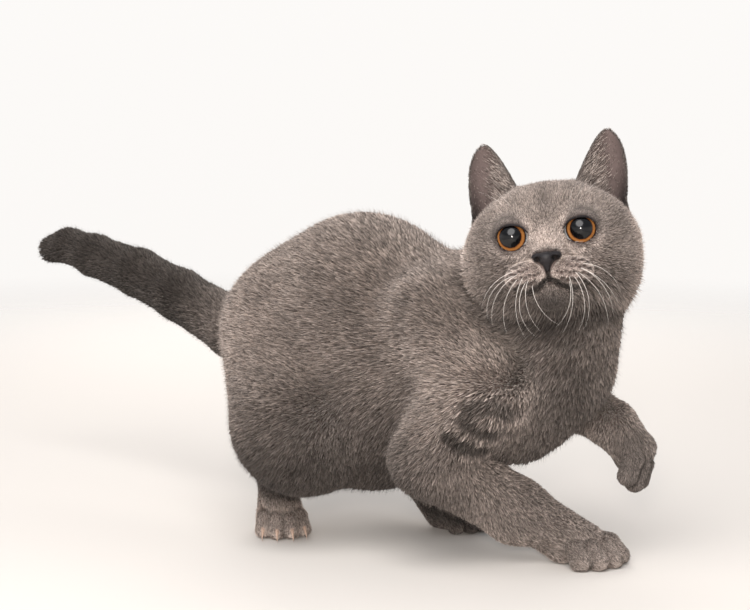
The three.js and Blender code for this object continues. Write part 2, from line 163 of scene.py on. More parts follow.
def intoFrame(place, points):
    turn, origin = place
    return (points - origin) @ turn


def outOfFrame(place, points):
    turn, origin = place
    return np.asarray(points, float) @ turn.T + origin


# Fields: a signed distance in millimetres, negative inside.
def ellipsoid(points, centre, radii):
    offset = points - np.array(centre, float)
    radii = np.array(radii, float)
    near = np.linalg.norm(offset / radii, axis=1)
    slope = np.linalg.norm(offset / radii ** 2, axis=1)
    return near * (near - 1) / np.maximum(slope, 1e-6)


def limb(points, start, end, radiusStart, radiusEnd):
    start, end = np.array(start, float), np.array(end, float)
    along = end - start
    t = unit((points - start) @ along / (along @ along))
    gap = np.linalg.norm(points - start - t[:, None] * along, axis=1)
    return gap - radiusStart - t * (radiusEnd - radiusStart)


def chain(points, joints, radii):  # the limbs between a row of joints
    return [limb(points, joints[i], joints[i + 1], radii[i], radii[i + 1]) for i in range(len(joints) - 1)]


def lineGap(points, path):  # distance from a line through some places
    return np.min(chain(points, path, [0] * len(path)), axis=0)


def softJoin(soft, *fields):
    joined = fields[0]
    for other in fields[1:]:
        overlap = np.maximum(soft - np.abs(joined - other), 0) / soft
        joined = np.minimum(joined, other) - overlap ** 2 * soft * 0.25
    return joined


def softCut(soft, field, cutter):
    return -softJoin(soft, -field, cutter)


# Places on the head are in its own frame: +X out of the face, +Y left, +Z up.
head = {
    "centre": (121, -5, 203), "heading": -59, "pitch": 13, "roll": 8,
    "masses": {  # place and reach each way
        "skull": ((-4, 0, 7), (42, 46, 34)), "cheek": ((0, 26, -7), (34, 26, 31)),
        "jaw": ((14, 0, -22), (24, 25, 18)), "pad": ((42, 12.5, -21.5), (13, 13.5, 9.5)),
        "chin": ((33.5, 0, -31), (12, 13.5, 9.5)),
    },
    "bridge": ((28, 0, 7), (46, 0, -12), 13, 8),
    "betweenPads": ((43.5, 0, -20.5), (8.5, 6.5, 6.5)),
}
headFrame = frameAt(head["centre"], head["heading"], head["pitch"], head["roll"])
eye = {
    "place": (27.5, 19.8, 5), "radius": 10.5,
    "outward": 7, "down": 5,  # degrees that each eye looks to its own side and downwards
    "openingOut": 8.7, "openingIn": 9.6, "openingUp": 6.2, "openingDown": 8.5,
    "cornerReach": 1.6, "cornerAt": -163, "cornerWidth": 0.34,  # the inner corner's point
    "lid": 1.3, "lidRaise": 0.5,  # how far the lids stand over the eyeball
    "lidAbove": 1.7, "lidBelow": 0.9,  # bare dark skin round the opening
    "pupil": 6.4, "iris": 8.2, "cornea": 0.9,
}
ear = {
    "base": (-8, 34, 28), "tip": (-13, 38.5, 71), "lean": 1.8, "facing": 10,
    "outer": 14.6, "inner": 20.6, "cup": 12, "wall": 3.4,  # half widths, hollow and thickness
    "height": 44, "top": 1.03, "foot": -0.5,  # the last two as shares of the height
}
mouth = {  # across and height of each half of the lips' line, and of the groove over it
    "lips": [(0, -24.4), (4, -26.4), (8, -28.9), (13, -30.6), (19, -30.2), (25, -27)],
    "groove": [(0, -19), (0, -24.4)], "radius": 0.9, "depth": 2.6, "from": 34,
}
leatherShape = {
    "wing": ((49.6, 5.7, -11.5), (3.9, 3.1, 2.0)), "top": ((52, 0, -12.8), (5.2, 5.4, 3.2)),
    "foot": ((52.9, 0, -14.6), (51.6, 0, -19.4), 3.6, 1.2), "soft": 2.2,
}
trunk = [  # place, reach each way and heading
    ((-84, 2, 130), (50, 54, 62), -12),  # rump
    ((-30, -6, 125), (88, 66, 92), -4),  # loin and belly
    ((52, 3, 130), (74, 56, 64), 10),  # rib cage
    ((90, 6, 118), (34, 44, 50), 15),  # breast
]
neck = [  # from a place on the trunk to one on the head, and the radius at each
    ((74, 6, 146), (-16, 0, -8), 50, 42), ((102, 20, 130), (0, 9, -24), 42, 33),
]
tail = {
    "route": [(-112, 4, 124), (-166, 5, 126.5), (-225, 4, 146.5), (-270, 3, 160), (-320, 2, 170),
              (-350, 1, 176), (-370, 0, 172)],
    "radii": [26, 21, 18.5, 17.5, 15.5, 13, 11],
}
legs = {  # pale is the paw's painted light, as a share; below 0 it is painted shade
    "right_fore": {
        "joints": [(52, -34, 160), (90, -38, 118), (58, -43, 71), (86, 8, 33), (120, 37, 15)],
        "radii": [27, 31, 24, 19.5, 10.5], "ankle": 13.5, "heading": -14, "pitch": 0,
        "spread": 10.4, "toeSize": 0.98, "pale": 0.12},
    "left_fore": {
        "joints": [(58, 34, 165), (88, 34, 136), (78, 41, 111), (130, 50, 88), (144.5, 58.5, 74)],
        "radii": [27, 27, 17.5, 13.5, 10.5], "ankle": 9.5, "heading": 14, "pitch": -66,
        "spread": 6.8, "toeSize": 0.98, "pale": -0.45},
    "right_hind": {
        "joints": [(-86, -20, 136), (-42, -54, 82), (-94, -28, 58), (-78, -38, 15)],
        "radii": [47, 46, 18, 11.5], "ankle": 9, "heading": -40, "pitch": 0,
        "spread": 8.2, "toeSize": 0.86, "pale": 1.1},
    "left_hind": {
        "joints": [(-84, 26, 136), (-8, 50, 88), (-56, 48, 52), (1, 51, 15)],
        "radii": [48, 38, 18, 11.5], "ankle": 9, "heading": -4, "pitch": 0,
        "spread": 8.2, "toeSize": 0.86, "pale": -0.5},
}
toe = {
    "bones": [(-8, 0, 5), (2.5, 0, 5.6), (10.5, 0, -1.2)], "radii": (7, 6.4, 6.8), "soft": 1.2,
    "across": (-1.38, -0.5, 0.5, 1.38), "fan": 7, "advance": 8, "setBack": 6, "drop": 8.6,
    "heel": (-11, 0, 0.5), "heelRadius": 8.2, "pad": ((-2, 0, -12.4), (15, 11.5, 5.4)),
}
soften = {  # how far the masses run into one another, mm
    "trunk": 24, "neck": 10, "tail": 6, "limbs": 10, "paw": 2, "body": 20, "legs": 16,
    "head": 12, "skull": 14, "face": 6, "lids": 7, "ears": 7, "pads": 4, "lips": 1.0, "opening": 0.8,
}
coatDepth = {  # how far the skin lies under the tips of the coat, in mm
    "trunk": 8, "neck": 7.5, "tail": 5.5, "limb": 6, "wrist": 4, "foot": 2.4, "toe": 1.3,
    "skull": 2.6, "cheek": 3.4, "jaw": 3.4, "bridge": 1.2, "pad": 0.9, "chin": 1.6, "ear": 0.4,
}

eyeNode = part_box("left_eye")
shift = np.array(sum(eyeNode, Vector()) / 2) - outOfFrame(headFrame, eye["place"]) / 1000


# The body's masses, each thinned by a share of the coat's depth.
def trunkField(points, thin):
    return coatDepth["trunk"] * thin + softJoin(soften["trunk"], *[
        ellipsoid(intoFrame(frameAt(place, heading), points), (0, 0, 0), radii)
        for place, radii, heading in trunk])


def neckField(points, thin):
    return coatDepth["neck"] * thin + softJoin(soften["neck"], *[
        limb(points, start, outOfFrame(headFrame, end), *radii) for start, end, *radii in neck])


def tailField(points, thin):
    return coatDepth["tail"] * thin + softJoin(soften["tail"], *chain(points, tail["route"], tail["radii"]))


def pawFrame(leg):
    return frameAt(leg["joints"][-1], leg["heading"], leg["pitch"])


def toeFrames(leg):
    turn, place = pawFrame(leg)
    made = []
    for across in toe["across"]:
        advance = toe["advance"] - toe["setBack"] * (abs(across) - 0.5)
        inner = frameAt((advance, across * leg["spread"], -toe["drop"]), across * toe["fan"])
        made.append((turn @ inner[0], turn @ inner[1] + place))
    return made


def toeFields(points, leg, thin):
    radii = [r * leg["toeSize"] - coatDepth["toe"] * thin for r in toe["radii"]]
    return [softJoin(1, *chain(intoFrame(place, points), toe["bones"], radii)) for place in toeFrames(leg)]


def pawField(points, leg, thin):
    wrist, foot = leg["joints"][-2:]
    wristDepth, footDepth = coatDepth["wrist"] * thin, coatDepth["foot"] * thin
    back = limb(points, wrist, foot, leg["radii"][-2] - wristDepth, leg["radii"][-1] - footDepth)
    heelRadius = toe["heelRadius"] * leg["toeSize"] - footDepth
    fan = [limb(points, wrist, outOfFrame(place, toe["heel"]), leg["ankle"] - wristDepth, heelRadius)
           for place in toeFrames(leg)]
    pad = ellipsoid(intoFrame(pawFrame(leg), points), *toe["pad"])
    return softJoin(soften["paw"], back, pad, *fan, softJoin(toe["soft"], *toeFields(points, leg, thin)))


def legField(points, leg, thin):
    joints = leg["joints"][:-1]
    depths = [coatDepth["limb"]] * (len(joints) - 1) + [coatDepth["wrist"]]
    bones = chain(points, joints, [r - d * thin for r, d in zip(leg["radii"], depths)])
    return softJoin(soften["limbs"], *bones, pawField(points, leg, thin))


def headMasses(points, thin):  # points in the head's frame
    made = {name: [ellipsoid(points, centre, radii) + coatDepth[name] * thin for centre in bothSides(place)]
            for name, (place, radii) in head["masses"].items()}
    bridge = limb(points, *head["bridge"]) + coatDepth["bridge"] * thin
    skull = softJoin(soften["skull"], *made["skull"], *made["cheek"], *made["jaw"])
    return softJoin(soften["face"], skull,
                    softJoin(soften["face"] - 3.5 * thin, bridge, *made["pad"], *made["chin"]))


def eyeFrame(side):  # in the head's frame: +X out through the pupil, +Y to the cat's left
    return frameAt(mirrored(eye["place"], side), side * eye["outward"], -eye["down"])


def openingEdge(offset, side):  # distance across the lids' opening, negative inside it
    out, up = offset[:, 1] * side, offset[:, 2]
    angle = np.arctan2(up, out)
    reach = np.where(out > 0, eye["openingOut"], eye["openingIn"])
    rise = np.where(up > 0, eye["openingUp"], eye["openingDown"])
    radius = 1 / np.sqrt((np.cos(angle) / reach) ** 2 + (np.sin(angle) / rise) ** 2)
    corner = np.angle(np.exp(1j * (angle - math.radians(eye["cornerAt"]))))
    return np.hypot(out, up) - (radius + eye["cornerReach"] * bump(corner, eye["cornerWidth"]))


def earAxes(side):
    base = np.array(mirrored(ear["base"], side), float)
    up = np.array(mirrored(ear["tip"], side), float) + (0, ear["lean"], 0) - base
    turn = math.radians(side * ear["facing"])
    across = np.cross(up, [math.cos(turn), math.sin(turn), 0])
    across /= np.linalg.norm(across)
    facing = np.cross(across, up)
    return base, up, across, facing / np.linalg.norm(facing)


def earPlace(points, side):  # rise from base to tip, place across, and depth in front of the ear's sheet
    base, up, across, facing = earAxes(side)
    offset = points - base
    rise = offset @ up / (up @ up)
    lateral = offset @ across
    held = unit(rise)
    outerHalf = ear["outer"] * (1 - (held / ear["top"]) ** 3) ** 0.6 + 12 * unit(-rise)
    innerHalf = ear["inner"] * (1 - held / ear["top"]) ** 0.62
    half = np.where(lateral * side > 0, outerHalf, innerHalf)
    s = np.clip(lateral / half, -1, 1)
    cup = ear["cup"] * (1 - 0.75 * held)
    slope = 2 * cup * s / half
    return rise, lateral, half, (offset @ facing + cup * (1 - s ** 2)) / np.sqrt(1 + slope ** 2)


def earField(points, side, thin):
    rise, lateral, half, depth = earPlace(points, side)
    rim = ear["wall"] / 2 - coatDepth["ear"] * thin
    beyond = np.maximum(np.abs(lateral) - half, (rise - ear["top"]) * ear["height"]) + ear["wall"] / 2
    sheet = np.hypot(np.maximum(beyond, 0), depth + ear["wall"] / 2) - rim
    return np.maximum(sheet, (ear["foot"] - rise) * ear["height"])


def mouthField(points):  # distance, seen from the front, from the line where the lips meet
    gaps = [lineGap(points * (0, 1, 1), [(0, side * across, height) for across, height in line])
            for side in (1, -1) for line in (mouth["lips"], mouth["groove"])]
    return np.where(points[:, 0] > mouth["from"], np.min(gaps, axis=0), 50)


def leatherField(points):
    place, radii = leatherShape["wing"]
    return softJoin(leatherShape["soft"], ellipsoid(points, *leatherShape["top"]), limb(points, *leatherShape["foot"]),
                    *[ellipsoid(points, centre, radii) for centre in bothSides(place)])


def headField(points, thin):
    field = headMasses(points, thin)
    if thin:
        field = softJoin(soften["pads"], field, ellipsoid(points, *head["betweenPads"]))
        for side in (1, -1):
            offset = intoFrame(eyeFrame(side), points)
            lids = np.linalg.norm(offset - np.array([0, 0, eye["lidRaise"]]), axis=1) - eye["radius"] - eye["lid"]
            field = softJoin(soften["lids"], field, lids)
        lips = np.maximum(mouthField(points) - mouth["radius"], -field - mouth["depth"])
        field = softCut(soften["lips"], field, lips)
    for side in (1, -1):
        field = softJoin(soften["ears"], field, earField(points, side, thin))
    for side in (1, -1) if thin else ():
        offset = intoFrame(eyeFrame(side), points)
        field = softCut(soften["opening"], field, np.maximum(openingEdge(offset, side), 1 - offset[:, 0]))
    return field


folds = {  # how strong each fold of the loose skin is and its line; the first ones are on both sides
    "lines": [
        (0.8, [(25, -62, 116), (22, -61, 97), (22, -60, 68)]), (0.5, [(36, -58, 104), (42, -64, 80)]),
        (0.35, [(52, -52, 188), (48, -60, 162), (50, -62, 140), (38, -60, 112)]),
        (1, [(106, -48, 152), (120, -36, 145), (134, -25, 142), (149, -14, 148)]),
        (0.9, [(130, -26, 130), (132, -14, 115)]), (0.8, [(106, -65, 112), (117, -54, 113), (122, -38, 106)]),
        (1, [(102, -64, 104), (108, -54, 96), (112, -42, 93), (116, -30, 93)]),
        (1, [(89, -63, 93), (96, -51, 85), (99, -31, 80), (108, -23, 83)])],
    "both": 3, "width": 3.6, "depth": 2.6,
}


def foldAt(points, width):  # how far into a fold a place is, from 0 to 1
    inside = np.zeros(len(points))
    for k, (strength, line) in enumerate(folds["lines"]):
        for side in (1, -1) if k < folds["both"] else (1,):
            gap = lineGap(points, [mirrored(place, side) for place in line])
            across = np.maximum(gap ** 2 - coatDepth["trunk"] ** 2, 0)
            inside = np.maximum(inside, strength * np.exp(-across / width ** 2))
    return inside


def bodyField(points, thin=1.0):  # thin 0 gives the tips of the coat, 1 the skin
    body = softJoin(soften["body"], trunkField(points, thin), neckField(points, thin), tailField(points, thin))
    body = softJoin(soften["legs"], body, *[legField(points, leg, thin) for leg in legs.values()])
    if thin:
        body = body + folds["depth"] * foldAt(points, folds["width"])
    whole = softJoin(soften["head"] - 7 * thin, body, headField(intoFrame(headFrame, points), thin))
    return np.maximum(whole, thin * skinMesh["feet"] - points[:, 2])


skinMesh = {
    "coarse": 3.9, "fine": 1.5,  # spacing on the body and on the head, mm
    "low": (-392, -104, -3), "high": (196, 104, 284),
    "fineLow": (54, -66, 150), "fineHigh": (184, 56, 284),
    "finer": 14, "finest": 10,  # faces are halved this near to the features, and again by the whisker pads
    "mouth": [(46, -14, -24), (46, 0, -24), (46, 14, -24)],
    "pads": [(51, -17, -21), (51, -9, -21), (51, 9, -21), (51, 17, -21)],
    "feet": 0.4,  # the skin stays this far above the floor
}


def gradedAxis(i):
    parts = (("low", "fineLow", "coarse"), ("fineLow", "fineHigh", "fine"), ("fineHigh", "high", "coarse"))
    return np.concatenate([np.arange(skinMesh[a][i], skinMesh[b][i], skinMesh[step]) for a, b, step in parts])


def gridOf(axes):
    return np.stack(np.meshgrid(*axes, indexing="ij"), -1).reshape(-1, 3)


def surfaceOf(field, axes, block=8, far=30.0):  # the field is worked out only in blocks near its surface
    counts = [-(-len(a) // block) for a in axes]
    padded = [np.concatenate([a, a[-1] + np.arange(1, n * block - len(a) + 1) * 3.0]) for a, n in zip(axes, counts)]
    ends = [(a[::block], a[block - 1::block]) for a in padded]
    halves = gridOf([(high - low) / 2 for low, high in ends])
    middle = field(gridOf([(low + high) / 2 for low, high in ends]))
    values = np.where(middle < 0, -far, far).astype(np.float32)
    values = np.repeat(values[:, None], block ** 3, 1)
    chosen = np.flatnonzero(np.abs(middle) < 1.6 * np.linalg.norm(halves, axis=1) + 5)
    steps = gridOf([np.arange(block)] * 3)
    for batch in np.array_split(chosen, max(1, len(chosen) // 800)):
        corner = np.stack(np.unravel_index(batch, counts), -1) * block
        index = corner[:, None] + steps[None]
        places = np.stack([padded[i][index[..., i]] for i in range(3)], -1)
        values[batch] = np.clip(field(places.reshape(-1, 3)), -far, far).reshape(len(batch), -1)
    grid = values.reshape(*counts, block, block, block).transpose(0, 3, 1, 4, 2, 5)
    grid = np.ascontiguousarray(grid.reshape([n * block for n in counts]))
    for i in range(3):  # an empty rim closes the shape
        grid.swapaxes(0, i)[[0, -1]] = far
    volume = openvdb.FloatGrid(far)
    volume.copyFromArray(grid)
    points, quads = volume.convertToQuads(0.0)
    points = np.stack([np.interp(points[:, i], np.arange(len(padded[i])), padded[i]) for i in range(3)], -1)
    a, b, c, d = (points[quads[:, i]] for i in range(4))
    inside = np.einsum("ij,ij->i", a, np.cross(b, c)).sum() + np.einsum("ij,ij->i", a, np.cross(c, d)).sum()
    return points, quads[:, ::-1] if inside < 0 else quads


def slopeOf(field, points, probe=0.12):
    steps = probe * np.eye(3)
    return np.stack([(field(points + step) - field(points - step)) / (2 * probe) for step in steps], -1)


def settle(field, points, most=0.6):  # moves points on to the field's surface
    slope = slopeOf(field, points)
    move = field(points) / np.maximum((slope ** 2).sum(1), 0.15)
    return points - np.clip(move, -most, most)[:, None] * slope


def refine(points, faces, centres, radius):  # halves the faces near some places
    mesh = bpy.data.meshes.new("refined")
    mesh.from_pydata(points.tolist(), [], faces)
    work = bmesh.new()
    work.from_mesh(mesh)
    near = (np.linalg.norm(points[:, None] - np.array(centres)[None], axis=2) < radius).any(1)
    chosen = [e for e in work.edges if near[e.verts[0].index] or near[e.verts[1].index]]
    bmesh.ops.subdivide_edges(work, edges=chosen, cuts=1, use_grid_fill=True)
    bmesh.ops.triangulate(work, faces=[f for f in work.faces if len(f.verts) > 4])
    work.to_mesh(mesh)
    work.free()
    co = np.empty(len(mesh.vertices) * 3)
    mesh.vertices.foreach_get("co", co)
    made = [tuple(p.vertices) for p in mesh.polygons]
    bpy.data.meshes.remove(mesh)
    return co.reshape(-1, 3), made


report("measuring the skin")
points, quads = surfaceOf(bodyField, [gradedAxis(i) for i in range(3)])
report(f"skin surface {len(quads)} faces")
features = [outOfFrame(headFrame, place) for place in bothSides(eye["place"]) + skinMesh["mouth"]]
features += [outOfFrame(place, (4, 0, 2)) for leg in legs.values() for place in toeFrames(leg)]
points, faces = refine(points, quads.tolist(), features, skinMesh["finer"])
pads = [outOfFrame(headFrame, place) for place in skinMesh["pads"]]
points, faces = refine(points, faces, pads, skinMesh["finest"])
for _ in range(3):
    points = settle(bodyField, points)
skin = meshObject("skin", points, faces)
report(f"skin settled, {sum(len(f) - 2 for f in faces)} triangles")

lie = {  # which way the hair lies
    "fallFrom": 135, "fallOver": 60, "neck": (-0.62, 0.0, -0.6), "paw": (0.9, 0, -0.35),
    "soft": 5.0, "noseRoot": (50, 0, -13), "evening": 30,
}
marksAndPaintedLight = {  # how much lighter or darker the coat is painted, as a share: its markings and painted light and shade
    # painted shade under the body and between toes; tail, lips, upper lids: own dark tone plus painted shade
    "tail": -0.76, "under": -0.4, "toeGapShade": -0.85, "lip": -0.9, "spot": -0.94, "upperLid": -0.4, "brow": 0.7,
    # a painted pale rim of light on the cheeks' ruff, painted shade behind it and in the skin's folds
    "lowerLid": 0.5, "ruff": 0.9, "behindRuffShade": -0.65, "earBack": -0.25, "earRim": -0.55, "fold": -0.72,
    # a painted highlight on the folds' edges; painted shade low on the trunk; dark nose skin, nostril shade
    "foldEdgeHighlight": 0.25, "low": -0.62, "leather": -0.92,
    "body": [  # place, reach each way and share: painted shade on the breast, painted light on shoulder and rump edge
        ((142, 0, 120), (26, 31, 34), -0.6), ((104, -62, 124), (26, 20, 24), 0.5),
        ((-92, -62, 128), (26, 26, 42), 0.32)],
    "face": [  # the same on the head, on both sides
        # a painted highlight on the nose's bridge; pads and muzzle partly pale fur, partly painted highlight
        ((48, 0, -3), (9, 7, 8), 1.1), ((46, 14, -19.5), (12, 12, 7), 2.2), ((36, 13, -9), (9, 8, 7), 0.6),
        # painted shade on the sides of the cheeks and on the chin under the pads; darker fur over the nose
        ((24, 38, 0), (16, 12, 20), -0.22), ((50, 0, -9.6), (5, 6.5, 2.4), -0.6), ((42, 0, -36), (16, 17, 7), -0.6),
        # painted shade under the jaw and on the lower cheeks; a darker patch beside the pads
        ((22, 0, -46), (26, 32, 12), -0.5), ((34, 30, -22), (9, 6, 8), -0.45), ((26, 34, -26), (14, 12, 9), -0.3),
        # the coat's own faint tabby marks on the forehead
        ((24, 0, 24), (22, 3.2, 16), -0.28), ((28, 9, 22), (12, 5, 9), 0.14), ((20, 17, 30), (12, 3.5, 9), -0.18),
        ((18, 25, 24), (12, 5, 8), 0.2)],
    # height, first, last and number of each row of whisker spots
    "spotRows": [(-15.6, 15, 22, 4), (-19.1, 11.5, 23, 6), (-22.7, 5.5, 22, 8), (-26.2, 8, 19.5, 6)],
    "spotSize": (1.55, 1.0),
}
hair = {  # in mm; run and width grow with the depth of the coat
    "least": 0.45, "most": 10, "run": (0.75, 0.55), "width": (0.22, 0.036), "byEyes": (0.7, 0.6), "onEar": 0.6,
    "inEarRise": 1.6, "inEarWidth": 0.28, "ruff": 0.5, "crownAtEar": 0.7, "onPad": -0.25, "onPaw": (0.7, 0.2),
}


def boneWays(points, joints, radii, drift, share):  # how near each limb is, and the way its hair lies
    return [(field, way / np.linalg.norm(way) * (1 - share) + drift * share)
            for field, way in zip(chain(points, joints, radii), np.diff(joints, axis=0))]


def evened(values, links, rounds):  # each point takes the mean of itself and its neighbours
    a, b = links.T
    count = np.bincount(links.ravel(), minlength=len(values))[:, None] + 1.0
    for _ in range(rounds):
        total = values.copy()
        for i in range(values.shape[1]):
            total[:, i] += np.bincount(a, values[b, i], len(values)) + np.bincount(b, values[a, i], len(values))
        values = total / count
    return values


def faceMarks(inHead):  # the shade of the face, and how far each place is inside a dark spot at a whisker's root
    shade, spots = np.ones(len(inHead)), np.zeros(len(inHead))
    for place, reach, share in marksAndPaintedLight["face"]:
        for centre in bothSides(place):
            shade *= 1 + share * blob(inHead, centre, reach)
    wide, tall = marksAndPaintedLight["spotSize"]
    for height, first, last, number in marksAndPaintedLight["spotRows"]:
        for k, across in enumerate(np.linspace(first, last, number)):
            z = height - 0.16 * (across - 13) + 0.35 * (-1) ** k
            gap = ((np.abs(inHead[:, 1]) - across) / wide) ** 2 + ((inHead[:, 2] - z) / tall) ** 2
            spots = np.maximum(spots, np.exp(-gap) * (inHead[:, 0] > 30))
    return shade * (1 + marksAndPaintedLight["spot"] * spots), spots


def coatPlan(points, normals, links):  # how the coat lies, how long it is and its shade at each point of the skin
    count, height = len(points), points[:, 2]
    inHead, headTurn = intoFrame(headFrame, points), headFrame[0]
    ahead, outward, up = inHead[:, 0], np.abs(inHead[:, 1]), inHead[:, 2]
    drift = np.zeros_like(points)  # back along the trunk, and downwards on its lower half
    drift[:, 0] = -1
    drift[:, 2] = -np.clip((lie["fallFrom"] - height) / lie["fallOver"], 0, 2)
    drift = lengthOne(drift)
    onHead = headMasses(inHead, 1)
    ways = [(trunkField(points, 1), drift), (neckField(points, 1), lie["neck"]),
            (onHead, lengthOne(inHead - lie["noseRoot"]) @ headTurn.T)]
    ways += boneWays(points, tail["route"], [r - coatDepth["tail"] for r in tail["radii"]], drift, 0)

    shade, onPaw = np.ones(count), np.zeros(count)
    for leg in legs.values():
        joints = leg["joints"]
        thinned = [r - coatDepth["limb"] for r in leg["radii"][:-1]]
        ways += boneWays(points, joints[:-2], thinned[:-1], drift, 1.0)
        ways += boneWays(points, joints[-3:-1], thinned[-2:], drift, 0.6)
        ways.append((pawField(points, leg, 1), pawFrame(leg)[0] @ np.array(lie["paw"])))
        first, second = np.sort(toeFields(points, leg, 1), axis=0)[:2]
        gap = bump(second - first, 1.5) * unit(1.5 - first / 2)
        gap *= np.clip(1.3 - intoFrame(pawFrame(leg), points)[:, 2] / 6, 0.25, 1)
        onPaw = np.maximum(onPaw, unit(1.5 - first / 8))
        # each paw painted lighter by its pale share, darker below 0, and painted shade in the gaps between toes
        shade *= (1 + leg["pale"] * unit(1.2 - first / 8)) * (1 + marksAndPaintedLight["toeGapShade"] * gap)

    isEar, inEar, earRim, earHair, earRun = np.zeros((5, count))
    earWay, atEar = np.zeros_like(points), np.full(count, np.inf)
    for side in (1, -1):
        rise, lateral, half, depth = earPlace(inHead, side)
        _, tipward, across, _ = earAxes(side)
        tipward = tipward / np.linalg.norm(tipward)
        field = earField(inHead, side, 1)
        atEar = np.minimum(atEar, field)
        ways.append((field - 1, headTurn @ tipward))
        here = unit(1 - field / 2) * (onHead > 0.5)
        place = lateral * side / half  # -1 at the edge by the crown, 1 at the outer edge
        front = (depth > -ear["wall"] / 2) & (np.abs(lateral) < half - 1.3) & (rise > -0.1)
        within = here * front > 0.5
        isEar, inEar = np.maximum(isEar, here), np.maximum(inEar, here * front)
        earRim = np.maximum(earRim, here * unit(1.4 - np.abs(np.abs(lateral) - half) / 1.5))
        earHair = np.where(within, np.clip(0.4 - place * 0.8, 0.14, 1) * np.clip(1.25 - rise, 0.3, 1), earHair)
        run = 1.5 + 6.5 * np.clip(1 - rise, 0.1, 1) * np.clip(0.6 - place, 0.1, 1)
        earRun = np.where(within, run, earRun)
        earWay[within] = headTurn @ (tipward * 0.8 + across * side * 0.65)
        # inside the ear: painted shade deep at its base, a painted highlight along its fold, darker by the outer edge
        tone = 0.5 + 0.6 * unit(rise / 0.5 + unit(0.35 - place)) - 0.35 * bump(place - 0.9, 0.22)
        tone += 0.35 * bump(place - 0.45, 0.16) * unit(1 - rise / 0.7)
        shade = np.where(within, tone, shade * (1 + marksAndPaintedLight["earBack"] * here))

    fields = np.stack([field for field, _ in ways])
    weights = np.exp(-(fields - fields.min(0)) / lie["soft"])
    flow = sum(w[:, None] * way for w, (_, way) in zip(weights, ways)) / weights.sum(0)[:, None]
    eyeEdge, lidWidth, lidShade = np.full(count, 50.0), np.full(count, eye["lidBelow"]), np.zeros(count)
    for side in (1, -1):
        offset = intoFrame(eyeFrame(side), inHead)
        gap = np.where(offset[:, 0] > 0, openingEdge(offset, side), 50)
        edge = np.where(offset[:, 0] > 0, np.hypot(gap, np.maximum(0, 4 - offset[:, 0])), 50)
        away = lengthOne(offset * (0, 1, 1), 1e-6)
        push = np.exp(-np.clip(edge, 0, 50) / 4)[:, None]
        flow = flow * (1 - 0.75 * push) + 0.75 * push * (away @ eyeFrame(side)[0].T @ headTurn.T)
        above = unit(away[:, 2] * 1.3 - away[:, 1] * side * 0.35)
        near = (offset[:, 0] > 0) & (np.abs(offset).max(1) < 20)
        width = eye["lidBelow"] + (eye["lidAbove"] - eye["lidBelow"]) * above
        lidWidth = np.where(near * above > 0, width, lidWidth)
        lidShade += near * above * (marksAndPaintedLight["upperLid"] * unit(1.3 - gap / 1.3) + marksAndPaintedLight["brow"] * bump(gap - 3.8, 2.2))
        lidShade += near * marksAndPaintedLight["lowerLid"] * unit(0.6 - away[:, 2]) * bump(gap - 2.4, 1.6)
        eyeEdge = np.minimum(eyeEdge, gap)
    flow -= (flow * normals).sum(1)[:, None] * normals
    flow = evened(lengthOne(flow, 1e-9), links, lie["evening"])
    inside = inEar > 0.5
    flow = lengthOne(np.where(inside[:, None], earWay, flow), 1e-9)

    rise = evened(np.clip(-bodyField(points, 0), hair["least"], hair["most"])[:, None], links, 6)[:, 0]
    byEyes = hair["byEyes"][0] + hair["byEyes"][1] * np.clip(eyeEdge, 0, 8)
    rise = np.where(eyeEdge < 8, np.minimum(rise, byEyes), rise)
    ruff = bump(ahead + 6, 14) * unit((outward - 28) / 12) * unit((24 - up) / 20) * unit(1.5 - onHead / 3)
    rise *= 1 + hair["ruff"] * ruff + hair["crownAtEar"] * bump(atEar, 6) * unit(up / 6 - 3)
    lips = mouthField(inHead)
    bareLid = unit((lidWidth - eyeEdge) / 0.6)
    faceShade, spots = faceMarks(inHead)
    leather = unit(1.3 - leatherField(inHead))
    sole = (normals[:, 2] < -0.75) & (height < 3)
    bare = np.maximum.reduce([bareLid, leather, unit(spots * 1.4 - 0.3), np.where(inside, 1 - 0.3 * earHair, 0),
                              sole.astype(float), unit(1.6 - lips)])

    onFore = np.minimum(*[legField(points, legs[name], 1) for name in ("right_fore", "left_fore")])
    behind = unit((82 - points[:, 0]) / 34)  # the elbow takes the painted shade of the flank beside it
    # painted shade low on the trunk and thighs, and on faces turned down
    low = unit((125 - height) / 62) * np.maximum(unit(onFore / 12), behind) * unit((height - 22) / 14)
    under = unit(-normals[:, 2] * 1.2) * unit((height - 24) / 30)
    # the lip line: the lips' own dark skin and painted shade in the mouth's crease
    lip = unit(1.7 - lips / 1.2) * np.clip(1.9 - outward / 14, 0.3, 1)
    # painted shade on the neck behind the cheeks
    behindRuffShade = bump(onHead - 2, 9) * unit((onHead - 1.5) / 2) * (1 - isEar)
    # of these shares, the ruff's is a painted pale rim of light; tail and leather are own dark tone plus painted shade
    shares = {"low": low, "under": under, "lip": lip, "ruff": ruff, "behindRuffShade": behindRuffShade, "leather": leather,
              "earRim": earRim, "tail": unit((-135 - points[:, 0]) / 75)}
    for name, amount in shares.items():
        shade *= 1 + marksAndPaintedLight[name] * amount
    # painted shade in the skin's folds and a painted highlight along their edges
    shade *= 1 + marksAndPaintedLight["fold"] * foldAt(points, 2.4) + marksAndPaintedLight["foldEdgeHighlight"] * (foldAt(points, 8) - foldAt(points, 4.5))
    # painted shade on the breast, painted highlights on the near shoulder and the rump's edge
    for place, reach, share in marksAndPaintedLight["body"]:
        shade *= 1 + share * blob(points, place, reach)
    shade *= faceShade * np.clip(1 + lidShade, 0.15, 2)

